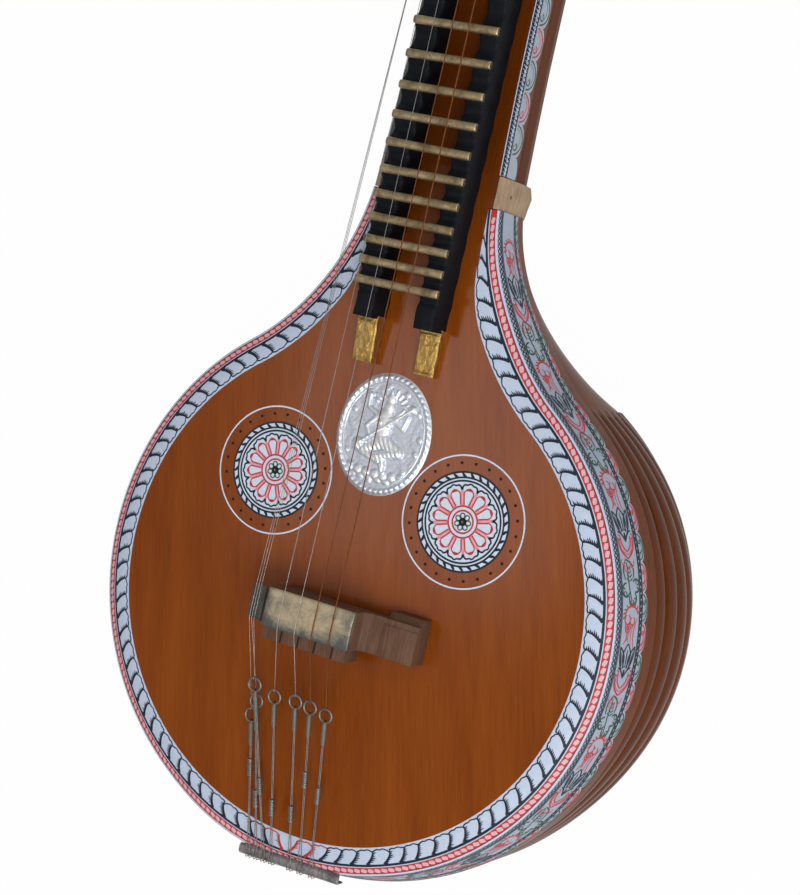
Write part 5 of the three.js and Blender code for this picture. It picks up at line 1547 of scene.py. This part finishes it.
def winding_path(axis, shaft, radius, direction, towards):
    """Two turns of a helix round a shaft along X, then the point that it leaves for on a tangent."""
    mean = (shaft + 0.3 + radius) / math.cos(math.pi / 8)
    run, rise = towards[1] - axis[1], towards[2] - axis[2]
    last = math.atan2(-run, rise) - math.acos(mean / math.hypot(run, rise))
    back = np.linspace(2, 0, 41)
    turn = last - TURN * back
    x = axis[0] + direction * (2 * radius + 0.5) * back
    helix = np.stack([x, axis[1] - mean * np.sin(turn), axis[2] + mean * np.cos(turn)], -1)
    return np.concatenate([helix, [towards]])


def main_peg_y(i):
    return PEGBOX_Y + 30.0 * (i + 1)


class VEENA_OT_strings(VeenaOperator):
    """Make the strings with their loops, rings, sleeves and hangers, the tuning beads and the tail bar"""

    bl_idname = "veena.strings"
    bl_label = "Strings"

    def execute(self, context):
        steel = wire("plain_steel", (0.5, 0.48, 0.46), 0.0, 0.34)
        bronze = wire("bronze_wire", (0.62, 0.24, 0.09), 0.45, 0.42)
        fittings = [wire("hanger_steel", (0.34, 0.31, 0.29), 0.0, 0.4),
                    wire("wound_sleeve", (0.5, 0.46, 0.4), 0.75, 0.5),
                    wire("dark_loop", (0.2, 0.13, 0.09), 0.0, 0.5)]
        bead = wire("bead_steel", (0.52, 0.5, 0.46), 0.0, 0.36)
        # Radius of the solid, radius here, places on the bridge, the nut and the tail bar, rest of the bead
        rows = ((0.35, 0.2, -23.5, -25.5, -7.7, -144.5), (0.4, 0.22, -10.8, -13.5, 6.3, -144.0),
                (0.5, 0.36, 1.6, 1.0, 14.0, -118.5), (0.55, 0.4, 14.3, 11.0, 22.6, -126.0))
        for i, (radius, thin, bridge_x, nut_x, tail_x, rest) in enumerate(rows):
            lift = 0.3 + radius
            nut_z = BOARD_TOP + 29.0 + lift
            over_nut = (nut_x, NUT_Y + 3.0 + lift, nut_z - 1.5)
            winding = winding_path((nut_x, main_peg_y(i), PEG_Z), 5.0, radius, (-1) ** i, over_nut)
            crown = [[bridge_x, y, BOARD_TOP + 35.0 - ((y - BRIDGE_Y) / BRIDGE_HALF) ** 2 + lift]
                     for y in (BRIDGE_LINE_Y, -19.25, -27.5)]
            hanger = Hanger(MAIN_RINGS[i], tail_x)
            route = np.concatenate([winding, [[nut_x, NUT_Y, nut_z]], crown])
            metal_here, slot = (steel, "string_steel") if i < 2 else (bronze, "string_bronze")
            self.make_string(f"string_{i + 1}", route, thin, hanger, [metal_here] + fittings, slot)
            self.make_bead(f"tuning_bead_{i + 1}", hanger, rest, bead)
        self.make_side_strings([steel] + fittings, bead)
        tail_metal = metal("tail_metal", (0.52, 0.5, 0.52), (0.12, 0.11, 0.11), 0.42, 0.85)
        dressed_copy("tailpiece", "tail_bar", tail_metal, 0.7, segments=3, angle=15.0)
        return {"FINISHED"}

    def make_side_strings(self, materials, bead):
        """Drone strings from their side pegs over the guide pins and the slanted plate."""
        radius, lift = 0.3, 0.6
        # Place on the bridge and guide pin, hook on the tail bar, rest of the bead
        rows = ((-48.6, -36.4, -25.0, -124.5), (-46.0, -34.6, -19.3, -143.0), (-43.4, -33.2, -13.6, -133.0))
        for i, (bridge_x, pin_x, tail_x, rest) in enumerate(rows):
            y = SIDE_PEG_Y[i]
            coil_x = -float(neck_half_width(y)) - 4.0
            edge = (coil_x, y - 13.0, BOARD_TOP + 2 * lift)
            winding = winding_path((coil_x, y, SIDE_PEG_Z), 3.6, radius, -1, edge)
            bridge_z = BOARD_TOP + 33.9 - 7.0 * (-38.3 - bridge_x) / 13.5
            route = np.concatenate([winding, [[pin_x - 2.2 - lift, y - 26.0, BOARD_TOP + 18.3 - radius],
                                              [bridge_x, -4.0, bridge_z], [bridge_x, -26.0, bridge_z]]])
            hanger = Hanger(SIDE_RINGS[i], tail_x)
            self.make_string(f"side_string_{i + 1}", route, 0.18, hanger, materials, "string_steel")
            self.make_bead(f"side_bead_{i + 1}", hanger, rest, bead)

    def make_string(self, name, route, radius, hanger, materials, slot):
        """The wire, its twisted end, a loop, the ring, a wound sleeve, a dark loop, and the hooked hanger."""
        ring, tail, along, sideways, up = hanger.ring, hanger.tail, hanger.along, hanger.sideways, hanger.up
        near_ring, start = ring - along * RING_RADIUS, ring + along * RING_RADIUS
        last = route[-1]
        length = np.linalg.norm(near_ring - last)
        ahead = (near_ring - last) / length
        skin = Skin().tube(np.concatenate([route, [last + ahead * (length - 9.0)]]), radius, 8)
        t = np.linspace(0, 1, 60)
        base = last + ahead * (length - 9.5 + 9.0 * t)[:, None]
        for phase in (0.0, math.pi):
            skin.tube(circle(base, radius * 0.95, TURN * 5 * t + phase, sideways, up), radius * 0.85, 6)
        around = np.linspace(0, TURN, 33)[:-1]

        def loop(middle, reach, thick, sides, finish, axis):
            skin.tube(circle(middle, reach, around, along, axis), thick, sides, finish, closed=True)

        loop(near_ring + along * 0.1, 1.15, radius, 6, 0, up)
        loop(ring, RING_RADIUS, 0.86, 10, 1, sideways)
        skin.tube(np.linspace(start - along * 0.2, start + along * 16.0, 24),
                  np.interp(np.linspace(0, 1, 24), [0, 0.1, 0.85, 1.0], [1.1, 1.75, 1.6, 0.95]), 12, finish=2)
        loop(start - along * 0.3, 1.25, 0.42, 6, 3, up)
        splay = lerp(ring, tail, 0.82)
        outside = hanger.inner - 8.06
        hook = np.array([tail[0], outside, BOARD_TOP - 3.4])
        legs = []
        for side in (1, -1):
            apart, wide = sideways * side * 0.45, np.array([-side * 1.2, 0.0, 0.0])
            legs.append([start + along * 14.0 + apart, splay + apart, tail + wide,
                         np.array([tail[0], hanger.inner - 5.25, tail[2]]) + wide,
                         np.array([tail[0], outside, BOARD_TOP + 1.7]) + wide, hook + wide])
        bend = [hook - 1.2 * np.array([math.cos(turn), 0.0, math.sin(turn)])
                for turn in (math.pi / 4, QUARTER, 0.75 * math.pi)]
        skin.tube(np.array(legs[0] + bend + legs[1][::-1]), 0.31, 7, finish=1)
        skin.build(name + "_wire", materials, slot, (name,), sharp=60)

    def make_bead(self, name, hanger, rest_y, material):
        """A coil of close turns round both hanger wires: a helix whose pitch is the wire's own width."""
        ring, tail = hanger.ring, hanger.tail
        place = lerp(ring, tail, (rest_y - ring[1]) / (tail[1] - ring[1]))
        turns, pitch = 9, 1.24
        t = np.linspace(0, turns, turns * 14 + 1)
        middle = place + hanger.along * (pitch * (t - turns / 2))[:, None]
        path = circle(middle, (1.5 + 0.12 * np.sin(t * 2.1))[:, None], TURN * t, hanger.sideways, hanger.up)
        Skin().tube(path, 0.5, 7).build(name + "_coil", [material], "string_steel", (name,), name, sharp=60)


class VEENA_OT_pegs(VeenaOperator):
    """Make the four playing string pegs and the three side string pegs"""

    bl_idname = "veena.pegs"
    bl_label = "Pegs"

    def execute(self, context):
        for i in range(4):
            y = main_peg_y(i)
            half = lerp(NECK_END, 31.0, (y - PEGBOX_Y) / 150.0)
            self.make_peg(f"peg_{i + 1}", -(-1) ** i, y, PEG_Z, 32,
                          (-half - 5.0, half + 11.0, 5.0, 9.0, 14.0, 34.0))
        for i, y in enumerate(SIDE_PEG_Y):
            half = float(neck_half_width(y))
            self.make_peg(f"side_peg_{i + 1}", -1, y, SIDE_PEG_Z, 28,
                          (half - 15.0, half + 12.0, 3.6, 6.5, 9.5, 24.0))
        return {"FINISHED"}

    def make_peg(self, name, side, y, z, steps, sizes):
        """A shaft, a collar and a smooth knob, listed as radius and run, turned about X to either side."""
        tip, face, shaft, collar, knob, length = sizes
        neck, start = shaft * 1.1, face + 6.4
        shares = ((0.82, 0.2), (1.0, 0.5), (0.78, 0.8), (0.3, 0.92), (0.24, 1.0))
        body = smooth_path([[neck, start]] + [[knob * wide, start + length * run] for wide, run in shares], 6)
        head = [[0, tip], [shaft * 0.9, tip], [shaft, tip + 0.6], [shaft, face - 0.2],
                [collar * 0.97, face + 0.6], [collar, face + 1.2], [collar, face + 3.2],
                [collar * 0.95, face + 4.0], [neck, face + 5.2]]
        profile = np.concatenate([head, body, [[0, start + length]]])
        radius, run = np.clip(profile[:, :1], 0, max(knob, collar)), profile[:, 1:]
        angle = TURN * np.arange(steps) / steps
        points = joined(side * run, y + radius * np.sin(angle), z - side * radius * np.cos(angle))
        wood = bare_wood("peg_wood", (0.16, 0.07, 0.035), 0.6)
        Skin().grid(points, wrap_columns=True).build(
            name + "_turned", [wood], "dark_wood", (name,), name, sharp=50)


class VEENA_OT_head(VeenaOperator):
    """Dress the pegbox and the carved head"""

    bl_idname = "veena.head"
    bl_label = "Pegbox and head"

    def execute(self, context):
        wood = lacquered_wood("pegbox_lacquer", 0.75, 0.1)
        dressed_copy("pegbox", "pegbox_wood", wood, 1.0)
        mesh = node_copy("yali_head")
        reworked(mesh, lambda work: bmesh.ops.remove_doubles(work, verts=work.verts, dist=5e-6))
        rough = bpy.data.objects.new("yali_rough", mesh)
        context.scene.collection.objects.link(rough)
        remesh = rough.modifiers.new("remesh", "REMESH")
        remesh.mode, remesh.voxel_size = "VOXEL", 0.0016
        soften = rough.modifiers.new("soften", "SMOOTH")
        soften.iterations, soften.factor = 4, 0.5
        made = bpy.data.meshes.new_from_object(rough.evaluated_get(context.evaluated_depsgraph_get()))
        bpy.data.objects.remove(rough)
        present("yali_carving", made, [self.carved_wood()], None, "body", ("yali_head",))
        return {"FINISHED"}

    def carved_wood(self):
        """Painted lacquer over carved scales: overlapping cells all over the carving, gold between them."""
        make = Finish("carved_lacquer")
        place, base = make.place(), pigment("lacquer")
        scale = make.cells(place, 0.16)
        tone = make.noise(place, (0.3, 0.08, 0.3), 4.0)
        wood = make.ramp(tone, (0.3, scaled(base, 0.45)), (0.7, base))
        gold = make.blend(scale.rises(0.62, 0.12), wood, (0.5, 0.3, 0.08))
        normal = make.bump(scale * -1.0, 0.6, 1.6)
        return make.shade(gold, 0.35 + 0.1 * tone, coat=1.0, coat_rough=0.1, normal=normal)


class VEENA_OT_gourd(VeenaOperator):
    """Make the second resonator with its shallow lobes and painted bands"""

    bl_idname = "veena.gourd"
    bl_label = "Gourd"

    def execute(self, context):
        """Two quarter ellipses joined at the widest height, with twelve shallow lobes."""
        keel_depth = lerp(66.0, 60.0, (GOURD_Y - JOINT_Y) / (NUT_Y - JOINT_Y))
        top = BOARD_TOP - keel_depth - 12.3
        widest, middle = 105.0, 60.0
        shoulder, keel = math.acos(36.0 / widest), math.acos(30.0 / widest)
        upper, lower = np.linspace(shoulder, 0, 30), np.linspace(0, -keel, 34)[1:]
        radius = np.concatenate([[9.3, 9.3, 34.5], widest * np.cos(upper), widest * np.cos(lower),
                                 [28.0, 0.0]])
        height = np.concatenate([[top - 6.0, top, top], lerp(middle, top, np.sin(upper) / math.sin(shoulder)),
                                 middle + middle * np.sin(lower) / math.sin(keel), [0.0, 0.0]])
        angle = TURN * np.arange(120) / 120
        lobe = 1 - 0.012 * (1 - np.abs(np.cos(6 * angle))) * smooth01((radius[:, None] - 40) / 50)
        reach = radius[:, None] * lobe
        points = joined(reach * np.cos(angle), GOURD_Y + reach * np.sin(angle), height[:, None])
        Skin().grid(points, wrap_columns=True).build(
            "gourd_shell", [self.skin_finish()], "gourd_skin", ("gourd",), "gourd", sharp=50)
        return {"FINISHED"}

    def skin_finish(self):
        """Lacquered brown with a white, navy and red band round the shoulder."""
        make = Finish("gourd_lacquer")
        x, y, z = place = make.place()
        dy = y - GOURD_Y
        radius = (x * x + dy * dy).root()
        cloud = make.noise(place, 0.02, 5.0, 0.6, 0.5)
        speck = make.noise(place, 0.4, 4.0, 0.65)
        base, navy, red = pigment("lacquer"), pigment("navy"), pigment("red")
        tone = make.ramp(cloud * 0.7 + speck * 0.3, (0.3, scaled(base, 0.4)), (0.7, scaled(base, 0.95)))
        upper = z.rises(70.0, 2.0)
        for centre, half, colour in ((64.0, 8.0, pigment("enamel")), (58.5, 0.9, navy), (69.5, 0.9, navy),
                                     (62.4, 0.7, red), (65.6, 0.7, red)):
            inside = (half - abs(radius - centre)).rises(0.0, 0.4) * upper
            tone = make.blend(inside, tone, colour)
        normal = make.bump(speck, 0.1, 0.5)
        return make.shade(tone, 0.34 + 0.1 * speck, coat=0.9, coat_rough=0.1, normal=normal)


def length_property(name, description, default, least, most):
    return FloatProperty(name=name, description=description, default=default, min=least, max=most,
                         unit="LENGTH")


def colour_property(name, description, default):
    return FloatVectorProperty(name=name, description=description, subtype="COLOR", size=3, min=0, max=1,
                               default=default)


class VeenaSizes(bpy.types.PropertyGroup):
    """Sizes that shape the carving and the painting"""

    rib_count: IntProperty(name="Ribs", description="Ribs carved round the bowl", default=40, min=12, max=90)
    rib_depth: length_property("Rib depth", "Depth of the grooves between ribs", 0.0026, 0.0, 0.006)
    leaf_pitch: length_property("Leaf pitch", "Length of one leaf of the top border", 0.012, 0.005, 0.04)
    motif_pitch: length_property("Motif pitch", "Length of the side band's four motifs", 0.082, 0.03, 0.2)
    scallop_pitch: length_property("Scallop pitch", "Length of one petal of the fringe", 0.018, 0.005, 0.03)


class VeenaColours(bpy.types.PropertyGroup):
    """Colours of the lacquer, the enamel and the inks"""

    lacquer: colour_property("Lacquer", "Orange brown of the lacquered wood", (0.23, 0.051, 0.003))
    enamel: colour_property("Enamel", "White ground of the painted borders", (0.6, 0.69, 0.85))
    navy: colour_property("Navy", "Dark blue outlines", (0.008, 0.018, 0.034))
    red: colour_property("Red", "Red strokes", (0.48, 0.03, 0.035))
    green: colour_property("Green", "Green strokes", (0.02, 0.075, 0.04))


STEPS = ("stage", "bowl", "border", "soundboard", "plaque", "neck", "rails", "frets", "bridge", "strings",
         "pegs", "head", "gourd")


class VEENA_PT_panel(bpy.types.Panel):
    """Lists the veena's operators and settings"""

    bl_idname = "VEENA_PT_panel"
    bl_label = "Veena"
    bl_space_type = "VIEW_3D"
    bl_region_type = "UI"
    bl_category = "Veena"

    def draw(self, context):
        for step in STEPS:
            self.layout.operator("veena." + step)
        for group in (context.scene.veena_sizes, context.scene.veena_colours):
            for name in group.bl_rna.properties.keys():
                if name not in {"rna_type", "name"}:
                    self.layout.prop(group, name)


CLASSES = (VeenaSizes, VeenaColours, VEENA_OT_stage, VEENA_OT_bowl, VEENA_OT_border, VEENA_OT_soundboard,
           VEENA_OT_plaque, VEENA_OT_neck, VEENA_OT_rails, VEENA_OT_frets, VEENA_OT_bridge, VEENA_OT_strings,
           VEENA_OT_pegs, VEENA_OT_head, VEENA_OT_gourd, VEENA_PT_panel)


def register():
    for cls in CLASSES:
        bpy.utils.register_class(cls)
    bpy.types.Scene.veena_sizes = PointerProperty(type=VeenaSizes)
    bpy.types.Scene.veena_colours = PointerProperty(type=VeenaColours)


def unregister():
    del bpy.types.Scene.veena_colours
    del bpy.types.Scene.veena_sizes
    for cls in reversed(CLASSES):
        bpy.utils.unregister_class(cls)


def main():
    register()
    for step in STEPS:
        getattr(bpy.ops.veena, step)()


if __name__ == "__main__":
    main()
